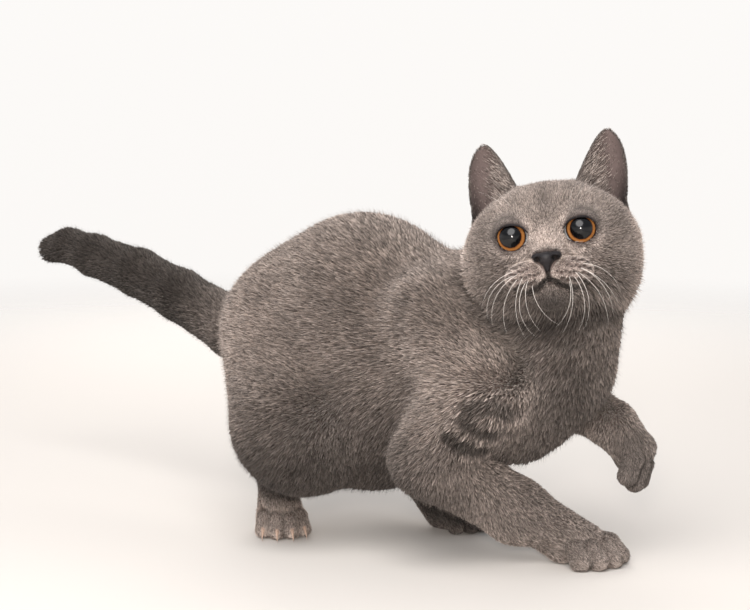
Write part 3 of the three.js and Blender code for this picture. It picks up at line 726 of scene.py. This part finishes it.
    rise = np.where(isEar > 0.5, hair["onEar"], rise)
    run, width = (hair[name][0] + hair[name][1] * rise for name in ("run", "width"))
    onPad = blob(np.stack([ahead, outward, up], -1), (47, 14, -20), (9, 11, 8))
    run *= (1 + hair["onPad"] * onPad) * (1 + hair["onPaw"][0] * onPaw)
    width *= 1 + hair["onPaw"][1] * onPaw
    return {"lie": flow, "rise": np.where(inside, hair["inEarRise"], rise) * 0.001,
            "run": np.where(inside, earRun, run) * 0.001, "width": np.where(inside, hair["inEarWidth"], width) * 0.001,
            "density": np.clip((8 / np.maximum(rise, 1)) ** 0.8, 1, 3.4) * (1 - bare), "marking": shade,
            "bareLid": bareLid, "inEar": inEar, "isEar": isEar, "headness": fields[2] - fields.min(0)}


normals = lengthOne(slopeOf(bodyField, points, 0.4))
links = np.empty(len(skin.data.edges) * 2, np.int32)
skin.data.edges.foreach_get("vertices", links)
plan = coatPlan(points, normals, links.reshape(-1, 2))
for name in ("bareLid", "inEar", "marking"):
    setAttribute(skin.data, name, plan[name])
report("coat planned")

tuft = {
    "perSquareMetre": 2.35e6, "patch": 0.003, "seed": 7,
    "turn": 0.22, "swirl": 0.28, "swirlScale": 95, "lift": 0.12,  # radians, and swirls per metre
    "least": (0.7, 0.72, 0.74), "most": (1.3, 1.25, 1.14),  # share of width, length and height
    "belly": (0.42, 0.74), "rolls": (-0.8, -0.4, 0, 0.4, 0.8),  # along and up at the widest place
    "guard": (0.16, 0.95, 1.4),  # width, length and height of the long outer hairs
    "floor": 0.0003,  # no tip goes lower than this, m
}


def tuftShapes():  # two triangles each: narrow root, widest place, tip
    shapes = bpy.data.collections.new("tufts")
    along, up = tuft["belly"]
    forms = [(0.5, 1, 1, roll) for roll in tuft["rolls"]] + [(*tuft["guard"], 0)]
    for half, length, height, roll in forms:
        lean = half * roll * 0.35
        mesh = bpy.data.meshes.new("tuft")
        mesh.from_pydata([(0, 0, -0.05), (half, along * length, up * height + lean), (0, length, height),
                          (-half, along * length, up * height - lean)], [], [(0, 1, 2, 3)])
        mesh.shade_smooth()
        setAttribute(mesh, "place", [(0.5, 0, 0), (1, 0.5, 0), (0.5, 1, 0), (0, 0.5, 0)], "FLOAT_VECTOR")
        shapes.objects.link(bpy.data.objects.new("tuft", mesh))
    return shapes


# Plush fur: each hair is blue-grey with a warm light tip and painted darker at its root, as painted shade
# deep in the coat; dense enough to look like velvet, with a faint pale sheen where it is seen edge on.
fur = {
    "root": "#241e1d", "tip": "#ab9e96", "brightest": 2.4,
    "tone": (0.28, 1.72), "patchTone": (0.86, 1.14), "patch": 22.2,  # shares from tuft to tuft and by patches, mm
}
blueCoat, nodes, shader = newMaterial("blue plush fur", Roughness=0.6, Specular_IOR_Level=0.3, Sheen_Weight=0.3,
                                      Sheen_Roughness=0.4, Sheen_Tint="#e6dcd2")
place, tone, marked = (addNode(nodes, "Attribute", attribute_name=name).outputs
                       for name in ("place", "tone", "marking"))
share = addNode(nodes, "SeparateXYZ", {0: place["Vector"]}).outputs[1]
ramp = addNode(nodes, "ValToRGB", {0: share})
for stop, name in zip(ramp.color_ramp.elements, ("root", "tip")):
    stop.color = linearColour(fur[name])
where = addNode(nodes, "TexCoord").outputs["Object"]
cloud = addNode(nodes, "TexNoise", {"Vector": where, "Scale": 1000 / fur["patch"], "Detail": 3.0})
low, high = fur["patchTone"]
cloud = addNode(nodes, "MapRange", {0: cloud, 1: 0.3, 2: 0.7, 3: low, 4: high})
amount = addNode(nodes, "MapRange", {0: tone["Fac"], 3: fur["tone"][0], 4: fur["tone"][1]})
# the coat's markings and painted light and shade scale the colour, with the random tone and patches
for operation, other in (("MULTIPLY", marked["Fac"]), ("MULTIPLY", cloud), ("MINIMUM", fur["brightest"])):
    amount = addNode(nodes, "Math", {0: amount, 1: other}, operation=operation)
colour = addNode(nodes, "VectorMath", {0: ramp, "Scale": amount}, operation="SCALE")
setInputs(shader, {"Base Color": colour})

shapes = tuftShapes()
coatInputs = {  # the tree's named inputs, each with its kind and value
    "Tufts per square metre": ("Float", tuft["perSquareMetre"]), "Seed": ("Int", tuft["seed"]),
    "Turn and lift": ("Vector", (tuft["lift"], 0, tuft["turn"])), "Swirl": ("Float", tuft["swirl"]),
    "Swirls per metre": ("Float", tuft["swirlScale"]), "Least size": ("Vector", tuft["least"]),
    "Most size": ("Vector", tuft["most"]), "Patch": ("Float", tuft["patch"]),
    "Tufts": ("Collection", shapes), "Material": ("Material", blueCoat),
}
hairLayers = {"density": "FLOAT", "width": "FLOAT", "run": "FLOAT", "rise": "FLOAT", "lie": "FLOAT_VECTOR"}


def coatTree():
    tree = bpy.data.node_groups.new("plush coat", "GeometryNodeTree")
    tree.interface.new_socket("Geometry", in_out="OUTPUT", socket_type="NodeSocketGeometry")
    for label, (kind, _) in {"Geometry": ("Geometry", None), **coatInputs}.items():
        tree.interface.new_socket(label, in_out="INPUT", socket_type="NodeSocket" + kind)
    given = addNode(tree, "NodeGroupInput").outputs
    own = {label: addNode(tree, "GeometryNodeInputNamedAttribute", {"Name": label}, data_type=kind).outputs["Attribute"]
           for label, kind in {**hairLayers, "place": "FLOAT_VECTOR", "rootMap": "FLOAT_VECTOR"}.items()}
    density = addNode(tree, "Math", {0: own["density"], 1: given["Tufts per square metre"]}, operation="MULTIPLY")
    roots = addNode(tree, "GeometryNodeDistributePointsOnFaces", {"Mesh": given["Geometry"], "Density": density,
                    "Seed": given["Seed"]}, distribute_method="RANDOM").outputs
    tone = addNode(tree, "FunctionNodeRandomValue", {"Seed": given["Seed"]}, data_type="FLOAT").outputs[1]
    toned = addNode(tree, "GeometryNodeStoreNamedAttribute",
                    {"Geometry": roots["Points"], "Name": "tone", "Value": tone}, data_type="FLOAT", domain="POINT")
    turnSeed, sizeSeed = (addNode(tree, "Math", {0: given["Seed"], 1: more}, operation="ADD")
                          for more in (1.0, 2.0))

    facing = addNode(tree, "FunctionNodeAxesToRotation", {0: roots["Normal"], 1: own["lie"]},
                     primary_axis="Z", secondary_axis="Y")
    swirl = addNode(tree, "TexNoise", {"Scale": given["Swirls per metre"], "Detail": 2.0})
    for operation, other in (("SUBTRACT", 0.5), ("MULTIPLY", given["Swirl"]), ("MULTIPLY", 2.0)):
        swirl = addNode(tree, "Math", {0: swirl, 1: other}, operation=operation)
    swirl = addNode(tree, "CombineXYZ", {2: swirl})
    turn = addNode(tree, "FunctionNodeRandomValue", {0: (-1, -1, -1), 1: (1, 1, 1), "Seed": turnSeed},
                   data_type="FLOAT_VECTOR")
    turn = addNode(tree, "VectorMath", {0: turn, 1: given["Turn and lift"], 2: swirl}, operation="MULTIPLY_ADD")
    turned = addNode(tree, "FunctionNodeRotateRotation", {0: facing, 1: turn}, rotation_space="LOCAL")

    size = addNode(tree, "CombineXYZ", {0: own["width"], 1: own["run"], 2: own["rise"]})
    vary = addNode(tree, "FunctionNodeRandomValue", {0: given["Least size"], 1: given["Most size"], "Seed": sizeSeed},
                   data_type="FLOAT_VECTOR")
    size = addNode(tree, "VectorMath", {0: size, 1: vary}, operation="MULTIPLY")
    forms = addNode(tree, "GeometryNodeCollectionInfo",
                    {0: given["Tufts"], "Separate Children": True, "Reset Children": True})
    placed = addNode(tree, "GeometryNodeInstanceOnPoints", {"Points": toned, "Instance": forms, "Pick Instance": True,
                                                            "Rotation": turned, "Scale": size})
    real = addNode(tree, "GeometryNodeRealizeInstances", {0: placed})
    here = addNode(tree, "GeometryNodeInputPosition")
    lifted = addNode(tree, "VectorMath", {0: here, 1: (-10, -10, tuft["floor"])}, operation="MAXIMUM")
    real = addNode(tree, "GeometryNodeSetPosition", {"Geometry": real, "Position": lifted})
    local = addNode(tree, "VectorMath", {0: own["place"], 1: (0.5, 0.5, 0)}, operation="SUBTRACT")
    local = addNode(tree, "VectorMath", {0: local, "Scale": given["Patch"]}, operation="SCALE")
    spot = addNode(tree, "VectorMath", {0: own["rootMap"], 1: local}, operation="ADD")
    mapped = addNode(tree, "GeometryNodeStoreNamedAttribute", {"Geometry": real, "Name": "OFBake", "Value": spot},
                     data_type="FLOAT2", domain="CORNER")
    finished = addNode(tree, "GeometryNodeSetMaterial", {"Geometry": mapped, "Material": given["Material"]})
    addNode(tree, "NodeGroupOutput", {0: finished})
    return tree


tree = coatTree()
socketOf = {item.name: item.identifier for item in tree.interface.items_tree if item.in_out == "INPUT"}


def coatPiece(name, chosen):  # chosen: the skin's faces that this piece covers
    used = np.unique(np.concatenate([faces[i] for i in chosen]))
    index = np.full(len(points), -1)
    index[used] = np.arange(len(used))
    ground = meshObject(name, points[used], [[int(index[v]) for v in faces[i]] for i in chosen])
    for key, kind in {**hairLayers, "marking": "FLOAT"}.items():
        setAttribute(ground.data, key, plan[key][used], kind)
    bpy.context.view_layer.objects.active = ground
    bpy.ops.object.select_all(action="DESELECT")
    ground.select_set(True)
    bpy.ops.object.mode_set(mode="EDIT")
    bpy.ops.mesh.select_all(action="SELECT")
    bpy.ops.uv.smart_project(angle_limit=math.radians(66), island_margin=0.004)
    bpy.ops.object.mode_set(mode="OBJECT")
    ground.data.uv_layers[0].name = "rootMap"
    modifier = ground.modifiers.new("coat", "NODES")
    modifier.node_group = tree
    for label, (_, value) in coatInputs.items():
        modifier[socketOf[label]] = value
    grown = bpy.data.meshes.new_from_object(ground.evaluated_get(bpy.context.evaluated_depsgraph_get()))
    bare = ground.data
    ground.modifiers.clear()
    ground.data = grown
    bpy.data.meshes.remove(bare)
    for spare in (*hairLayers, "rootMap"):
        if spare in grown.attributes:
            grown.attributes.remove(grown.attributes[spare])
    finishPiece(ground)
    triangles = len(grown.loops) - 2 * len(grown.polygons)
    report(f"{name}: {triangles} triangles")
    return triangles


faceCentres = np.array([points[list(f)].mean(0) for f in faces])
x, y, z = faceCentres.T
hx, _, hz = intoFrame(headFrame, faceCentres).T
onHead = np.array([plan["headness"][list(f)].mean() for f in faces]) < 3
onEar = np.array([plan["isEar"][list(f)].mean() for f in faces]) > 0.5
regions = {  # the first that holds a face has it
    "ears": onEar, "crown": onHead & (hz > 14), "face": onHead & (hx > 18), "cheeks": onHead, "tail": x < -135,
    "raised_foreleg": (x > 105) & (y > 30) & (z > 44) & (z < 120), "right_forefoot": (z < 44) & (x > 45),
    "right_hind_foot": (z < 44) & (y < 8), "left_hind_foot": z < 44, "right_shoulder": (x > 30) & (y < 2),
    "left_shoulder": x > 30, "right_flank": (x > -45) & (y < 0), "left_flank": x > -45,
    "right_thigh": y < 0, "left_thigh": y >= 0,
}
taken, total = np.zeros(len(faces), bool), 0
for name, holds in regions.items():
    total += coatPiece("coat_" + name, np.flatnonzero(holds & ~taken))
    taken |= holds
for shape in list(shapes.objects):
    bpy.data.objects.remove(shape)
bpy.data.collections.remove(shapes)
report(f"coat {total} triangles")

# Cornea over a copper iris: a wet clear dome gives the eye its sharp lights, over radial iris fibres, a
# wide black pupil, the dark edge of the iris and a little grey-white at the inner corner.
iris = {
    "fibres": 16, "wobble": 0.9, "lidShadeOnIris": (1.35, 0.5),  # round the pupil, mm, and the painted shade of the upper lid, light below to dark above
    "stops": [(0.0, "#050507"), (0.05, "#2b160b"), (0.16, "#85522b"), (0.4, "#ad7640"), (0.56, "#946034"),
              (0.68, "#3a2012"), (0.74, "#1c1517"), (0.8, "#4d4a4e"), (0.88, "#a9aeb4"),
              (0.999, "#ffffff"), (1.0, "#b9b6b4")],  # a thin bright line where the eye's white begins
}


def fillRamp(ramp, colours):
    stops = ramp.color_ramp.elements
    for position, colour in colours:
        stop = stops[0] if position == 0 else stops[len(stops) - 1] if position == 1 else stops.new(position)
        stop.color = linearColour(colour)
    return ramp


eyeMaterial, nodes, shader = newMaterial("cornea over copper iris", Roughness=0.5, Specular_IOR_Level=0.0,
                                         Coat_Weight=1.0, Coat_Roughness=0.16, Coat_IOR=1.45)
lens = addNode(nodes, "Attribute", attribute_name="lens").outputs["Vector"]
parts = addNode(nodes, "SeparateXYZ", {0: lens}).outputs
flat = addNode(nodes, "CombineXYZ", {0: parts[1], 1: parts[2]})
radius = addNode(nodes, "VectorMath", {0: flat}, operation="LENGTH").outputs["Value"]
way = addNode(nodes, "VectorMath", {0: flat}, operation="NORMALIZE")
fibres = addNode(nodes, "TexNoise", {"Vector": way, "Scale": iris["fibres"], "Detail": 4.0, "Roughness": 0.7})
wave = addNode(nodes, "Math", {0: fibres, 1: 0.5}, operation="SUBTRACT")
wobble = addNode(nodes, "Math", {0: wave, 1: iris["wobble"], 2: radius}, operation="MULTIPLY_ADD")
rings = addNode(nodes, "MapRange", {0: wobble, 1: eye["pupil"] - 0.1, 2: eye["iris"] + 1.2})
ramp = fillRamp(addNode(nodes, "ValToRGB", {0: rings}), iris["stops"])
# painted shade of the upper lid: the iris is lighter below and darker above
lidShadeOnIris = addNode(nodes, "MapRange", {0: parts[2], 1: -8.0, 2: 7.0, 3: iris["lidShadeOnIris"][0], 4: iris["lidShadeOnIris"][1]})
colour = addNode(nodes, "VectorMath", {0: ramp, "Scale": lidShadeOnIris}, operation="SCALE")
setInputs(shader, {"Base Color": colour})


def eyePiece(name, side):
    rings, around = 40, 56
    angles = np.linspace(0, math.pi, rings + 1)[1:-1]
    reach = eye["radius"] + eye["cornea"] * unit(np.cos(angles * 1.7)) ** 2 * (angles < math.pi / 3.4)
    verts = [(eye["radius"] + eye["cornea"], 0, 0)]
    for angle, r in zip(angles, reach):
        for k in range(around):
            turn = 2 * math.pi * k / around
            out = r * math.sin(angle)
            verts.append((r * math.cos(angle), out * math.cos(turn), out * math.sin(turn)))
    verts.append((-eye["radius"], 0, 0))
    beside = [(k, (k + 1) % around) for k in range(around)]
    loops = [(0, 1 + a, 1 + b) for a, b in beside]
    for base in range(1, len(verts) - 1 - around, around):
        loops += [(base + a, base + around + a, base + around + b, base + b) for a, b in beside]
    last = len(verts) - 1 - around
    loops += [(last + a, len(verts) - 1, last + b) for a, b in beside]
    verts = np.array(verts)
    piece = meshObject(name, outOfFrame(headFrame, outOfFrame(eyeFrame(side), verts)), loops)
    setAttribute(piece.data, "lens", verts, "FLOAT_VECTOR")
    finishPiece(piece, eyeMaterial)
    return piece


for side, label in ((1, "left_eye"), (-1, "right_eye")):
    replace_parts(eyePiece(label + "ball", side), label)
report("eyes")

# Nose leather: damp pebbled slate-grey skin, a broad soft shine over tiny bumps; nostrils painted black as shade.
leather = {
    "spacing": 0.4, "low": (44, -11, -23), "high": (60, 11, -7),
    "colour": "#1d1a1c", "nostrilShade": "#060505", "pebble": 0.9,
    "cuts": [  # how soft, from, to, and the radius at each; on both sides
        (0.7, (57, 3.9, -13.9), (50, 5.8, -12.5), 1.2, 1.3), (0.6, (54.5, 4.6, -13.9), (48, 8.8, -12.1), 1.0, 0.7)],
    "parting": ((59, 0, -15.5), (54.5, 0, -21), 0.5, 0.5),
}


def noseField(points):
    field = leatherField(points)
    for side in (1, -1):
        for soft, start, end, *radii in leather["cuts"]:
            field = softCut(soft, field, limb(points, mirrored(start, side), mirrored(end, side), *radii))
    return softCut(0.8, field, limb(points, *leather["parting"]))


noseAxes = [np.arange(leather["low"][i], leather["high"][i], leather["spacing"]) for i in range(3)]
nosePoints, noseQuads = surfaceOf(noseField, noseAxes, far=8.0)
for _ in range(2):
    nosePoints = settle(noseField, nosePoints, 0.3)
nose = meshObject("nose_leather", outOfFrame(headFrame, nosePoints), noseQuads.tolist())
# how far into the nostrils a place is, where the leather is painted black as shade
setAttribute(nose.data, "nostrilShade", unit(-leatherField(nosePoints) / 0.9))
noseMaterial, nodes, shader = newMaterial("slate nose leather", Roughness=0.5, Specular_IOR_Level=0.3)
nostrilShade = addNode(nodes, "Attribute", attribute_name="nostrilShade").outputs["Fac"]
colour = addNode(nodes, "Mix", {0: nostrilShade, 6: leather["colour"], 7: leather["nostrilShade"]}, data_type="RGBA").outputs[2]
where = addNode(nodes, "TexCoord").outputs["Object"]
pebbles = addNode(nodes, "TexVoronoi", {"Vector": where, "Scale": 1000 / leather["pebble"]}).outputs["Distance"]
relief = addNode(nodes, "Bump", {"Strength": 0.25, "Distance": 0.0002, "Height": pebbles})
setInputs(shader, {"Base Color": colour, "Normal": relief})
finishPiece(nose, noseMaterial)
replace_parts(nose, "nose")

whisker = {
    "perSide": 8, "radius": 0.13, "rings": 14, "sides": 5, "seed": 11, "thinning": 0.85,
    "first": (5, 85, 8), "last": (70, 82, 12),  # degrees down at root and tip: top one, more for the lowest, chance
    "length": (26, 15), "buried": 1.5,  # mm
    "forward": (0.55, -0.35),  # how far it leans ahead at the root and at the tip
    "brows": 3, "browRadius": 0.07, "browRings": 10,
}


def strands(name, paths, radii):  # tapered hairs along paths in the head's frame
    verts, loops = [], []
    sides = whisker["sides"]
    beside = [(k, (k + 1) % sides) for k in range(sides)]
    for path, radius in zip(paths, radii):
        ahead = lengthOne(np.gradient(path, axis=0))
        first = len(verts)
        side = np.cross(ahead[0], (0, 0, 1))
        for i, (place, way) in enumerate(zip(path, ahead)):
            side = side - way * (side @ way)
            side /= np.linalg.norm(side)
            up = np.cross(way, side)
            size = radius * (1 - whisker["thinning"] * i / (len(path) - 1))
            for k in range(sides):
                turn = 2 * math.pi * k / sides
                verts.append(place + size * (math.cos(turn) * side + math.sin(turn) * up))
        for base in range(first, len(verts) - sides, sides):
            loops += [(base + a, base + b, base + sides + b, base + sides + a) for a, b in beside]
        loops.append(tuple(range(first + sides - 1, first - 1, -1)))
        loops.append(tuple(range(len(verts) - sides, len(verts))))
    return meshObject(name, outOfFrame(headFrame, np.array(verts)), loops)


def hairPath(start, ways, length):  # from the skin behind a place in front of the head
    place = np.array([start], float)
    for _ in range(60):
        place = place + np.array((-1, 0, 0), float) * headField(place, 1)[0] * 0.7
    ways = lengthOne(ways)
    return place[0] - ways[0] * whisker["buried"] + np.cumsum(ways, 0) * length / len(ways)


chance = np.random.default_rng(whisker["seed"])
paths, radii = [], []
for side in (1, -1):
    for k in range(whisker["perSide"]):
        share = (k + 0.5) / whisker["perSide"]
        start = (75, side * (21 - 11 * share + chance.uniform(-1, 1)), -18 - 8 * share - (k % 2) * 1.5)
        first, last = (base + more * share + chance.uniform(-by, by)
                       for base, more, by in (whisker["first"], whisker["last"]))
        base, more = whisker["length"]
        length = base + more * math.sin(math.pi * (0.15 + 0.7 * share)) * chance.uniform(0.7, 1.1)
        turns = np.radians(first + (last - first) * np.linspace(0, 1, whisker["rings"]) ** 1.2)
        forward = np.linspace(*whisker["forward"], whisker["rings"])
        paths.append(hairPath(start, np.stack([forward, side * np.cos(turns), -np.sin(turns)], -1), length))
        radii.append(whisker["radius"])
    for k in range(whisker["brows"]):
        count = whisker["browRings"]
        turns = np.radians(np.linspace(76 - 12 * k, 50 - 14 * k, count))
        ways = np.stack([np.linspace(0.5, 0.1, count), side * np.cos(turns), np.sin(turns)], -1)
        paths.append(hairPath((60, side * (15 + 4 * k), 21 + 1.5 * k), ways, 15 + 3 * k))
        radii.append(whisker["browRadius"])
# Whisker keratin: stiff smooth white hair, so a narrow shine along each.
keratin = newMaterial("white whisker keratin", Base_Color="#e2dbd4", Roughness=0.35)[0]
finishPiece(strands("whiskers", paths, radii), keratin)
report("nose and whiskers")

# Skin: slate skin under short dense undercoat, seen between the tufts, and bare on the eyelids, inside
# the ears and under the paws.
skinTones = {
    "light": "#766761", "dark": "#534743", "ear": "#574a47", "lid": "#171214",
    "grain": 0.9, "brightest": 1.15,  # mm, and the most that a pale marking lightens the skin
}
skinMaterial, nodes, shader = newMaterial("slate skin under short coat", Roughness=0.7, Specular_IOR_Level=0.25)
inEar, marked, bareLid = (addNode(nodes, "Attribute", attribute_name=name).outputs["Fac"]
                          for name in ("inEar", "marking", "bareLid"))
where = addNode(nodes, "TexCoord").outputs["Object"]
grain = addNode(nodes, "TexNoise", {"Vector": where, "Scale": 1000 / skinTones["grain"], "Detail": 3.0})
colour = addNode(nodes, "Mix", {0: grain, 6: skinTones["dark"], 7: skinTones["light"]}, data_type="RGBA").outputs[2]
colour = addNode(nodes, "Mix", {0: inEar, 6: colour, 7: skinTones["ear"]}, data_type="RGBA").outputs[2]
# the skin takes the coat's markings and painted light and shade too, up to its brightest share
marked = addNode(nodes, "Math", {0: marked, 1: skinTones["brightest"]}, operation="MINIMUM")
colour = addNode(nodes, "VectorMath", {0: colour, "Scale": marked}, operation="SCALE")
colour = addNode(nodes, "Mix", {0: bareLid, 6: colour, 7: skinTones["lid"]}, data_type="RGBA").outputs[2]
relief = addNode(nodes, "Bump", {"Strength": 0.3, "Distance": 0.0003, "Height": grain})
setInputs(shader, {"Base Color": colour, "Normal": relief})
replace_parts(skin, *[n for n in frame["nodes"] if not any(word in n for word in ("eye", "nose", "claw"))])
finishPiece(skin, skinMaterial)

# Claw horn: thin layered keratin, beige streaked with pink, and a slight polish.
horn = {"pale": "#d3bda6", "pink": "#a8837a", "streak": 1.4}
hornMaterial, nodes, shader = newMaterial("claw horn", Roughness=0.38)
where = addNode(nodes, "TexCoord").outputs["Object"]
streaks = addNode(nodes, "TexNoise", {"Vector": where, "Scale": 1000 / horn["streak"], "Detail": 2.0})
colour = addNode(nodes, "Mix", {0: streaks, 6: horn["pale"], 7: horn["pink"]}, data_type="RGBA").outputs[2]
setInputs(shader, {"Base Color": colour})
for name, node in frame["nodes"].items():
    if "claw" in name:
        node.data.materials.clear()
        node.data.materials.append(hornMaterial)

stage = {
    "floor": "#ddd7d1", "fadeFrom": 0.5, "fadeTo": 1.7, "radius": 6,  # metres from the middle
    "sky": [(0.0, "#77736f"), (0.36, "#b9b5b1"), (0.4, "#fbf8f5"), (0.58, "#fdfbf9"),  # from below to above
            (0.66, "#a9acb0"), (1.0, "#b4b8be")],
    "camera": (754.6, -868.0, 300), "down": 7.04, "heading": 42, "lens": 85.15,
    "lights": {  # place, target, size, power and colour; the front lamp's place is from the camera
        "overhead softbox": ((0.5, -0.8, 1.15), (0.08, 0, 0.15), 1.25, 20, "#fffdfb"),
        "back softbox": ((-0.75, 0.85, 0.8), (0, 0, 0.12), 1.1, 10, "#fffaf5"),
        "front lamp": ((-0.02, -0.02, 0.08), (0.1, 0, 0.15), 0.12, 6, "#fff6ee")},
}
floorMesh = bpy.data.meshes.new("floor")
work = bmesh.new()
bmesh.ops.create_circle(work, cap_ends=True, radius=stage["radius"], segments=96)
work.to_mesh(floorMesh)
work.free()
newObject("floor", floorMesh)
# Studio paper: matt and even, and it fades into the background so that no edge shows.
paper, nodes, shader = newMaterial("matt studio paper", Base_Color=stage["floor"], Roughness=0.9)
where = addNode(nodes, "TexCoord").outputs["Object"]
reach = addNode(nodes, "VectorMath", {0: where}, operation="LENGTH").outputs["Value"]
fade = addNode(nodes, "MapRange", {0: reach, 1: stage["fadeFrom"], 2: stage["fadeTo"]},
               interpolation_type="SMOOTHSTEP")
mixed = addNode(nodes, "MixShader", {0: fade, 1: shader, 2: addNode(nodes, "BsdfTransparent")})
setInputs(nodes.nodes["Material Output"], {"Surface": mixed})
floorMesh.materials.append(paper)

scene = bpy.context.scene
scene.world = bpy.data.worlds.new("studio")
scene.world.use_nodes = True
nodes = scene.world.node_tree
where = addNode(nodes, "TexCoord").outputs["Generated"]
height = addNode(nodes, "SeparateXYZ", {0: where}).outputs[2]
height = addNode(nodes, "MapRange", {0: height, 1: -1.0, 2: 1.0})
sky = fillRamp(addNode(nodes, "ValToRGB", {0: height}), stage["sky"])
setInputs(nodes.nodes["Background"], {"Color": sky})
scene.view_settings.view_transform = "Standard"

scene.camera = newObject("camera", bpy.data.cameras.new("camera"))
scene.camera.location = np.array(stage["camera"]) / 1000 + shift
scene.camera.rotation_euler = (math.radians(90 - stage["down"]), 0, math.radians(stage["heading"]))
scene.camera.data.lens, scene.camera.data.sensor_width = stage["lens"], 36
for name, (place, target, size, power, colour) in stage["lights"].items():
    lamp = newObject(name, bpy.data.lights.new(name, "AREA"))
    lamp.data.shape, lamp.data.size, lamp.data.energy = "DISK", size, power
    lamp.data.color = linearColour(colour)[:3]
    lamp.location = Vector(place) + (scene.camera.location if name == "front lamp" else Vector())
    lamp.rotation_euler = (Vector(target) - lamp.location).to_track_quat("-Z", "Y").to_euler()

report("staged")
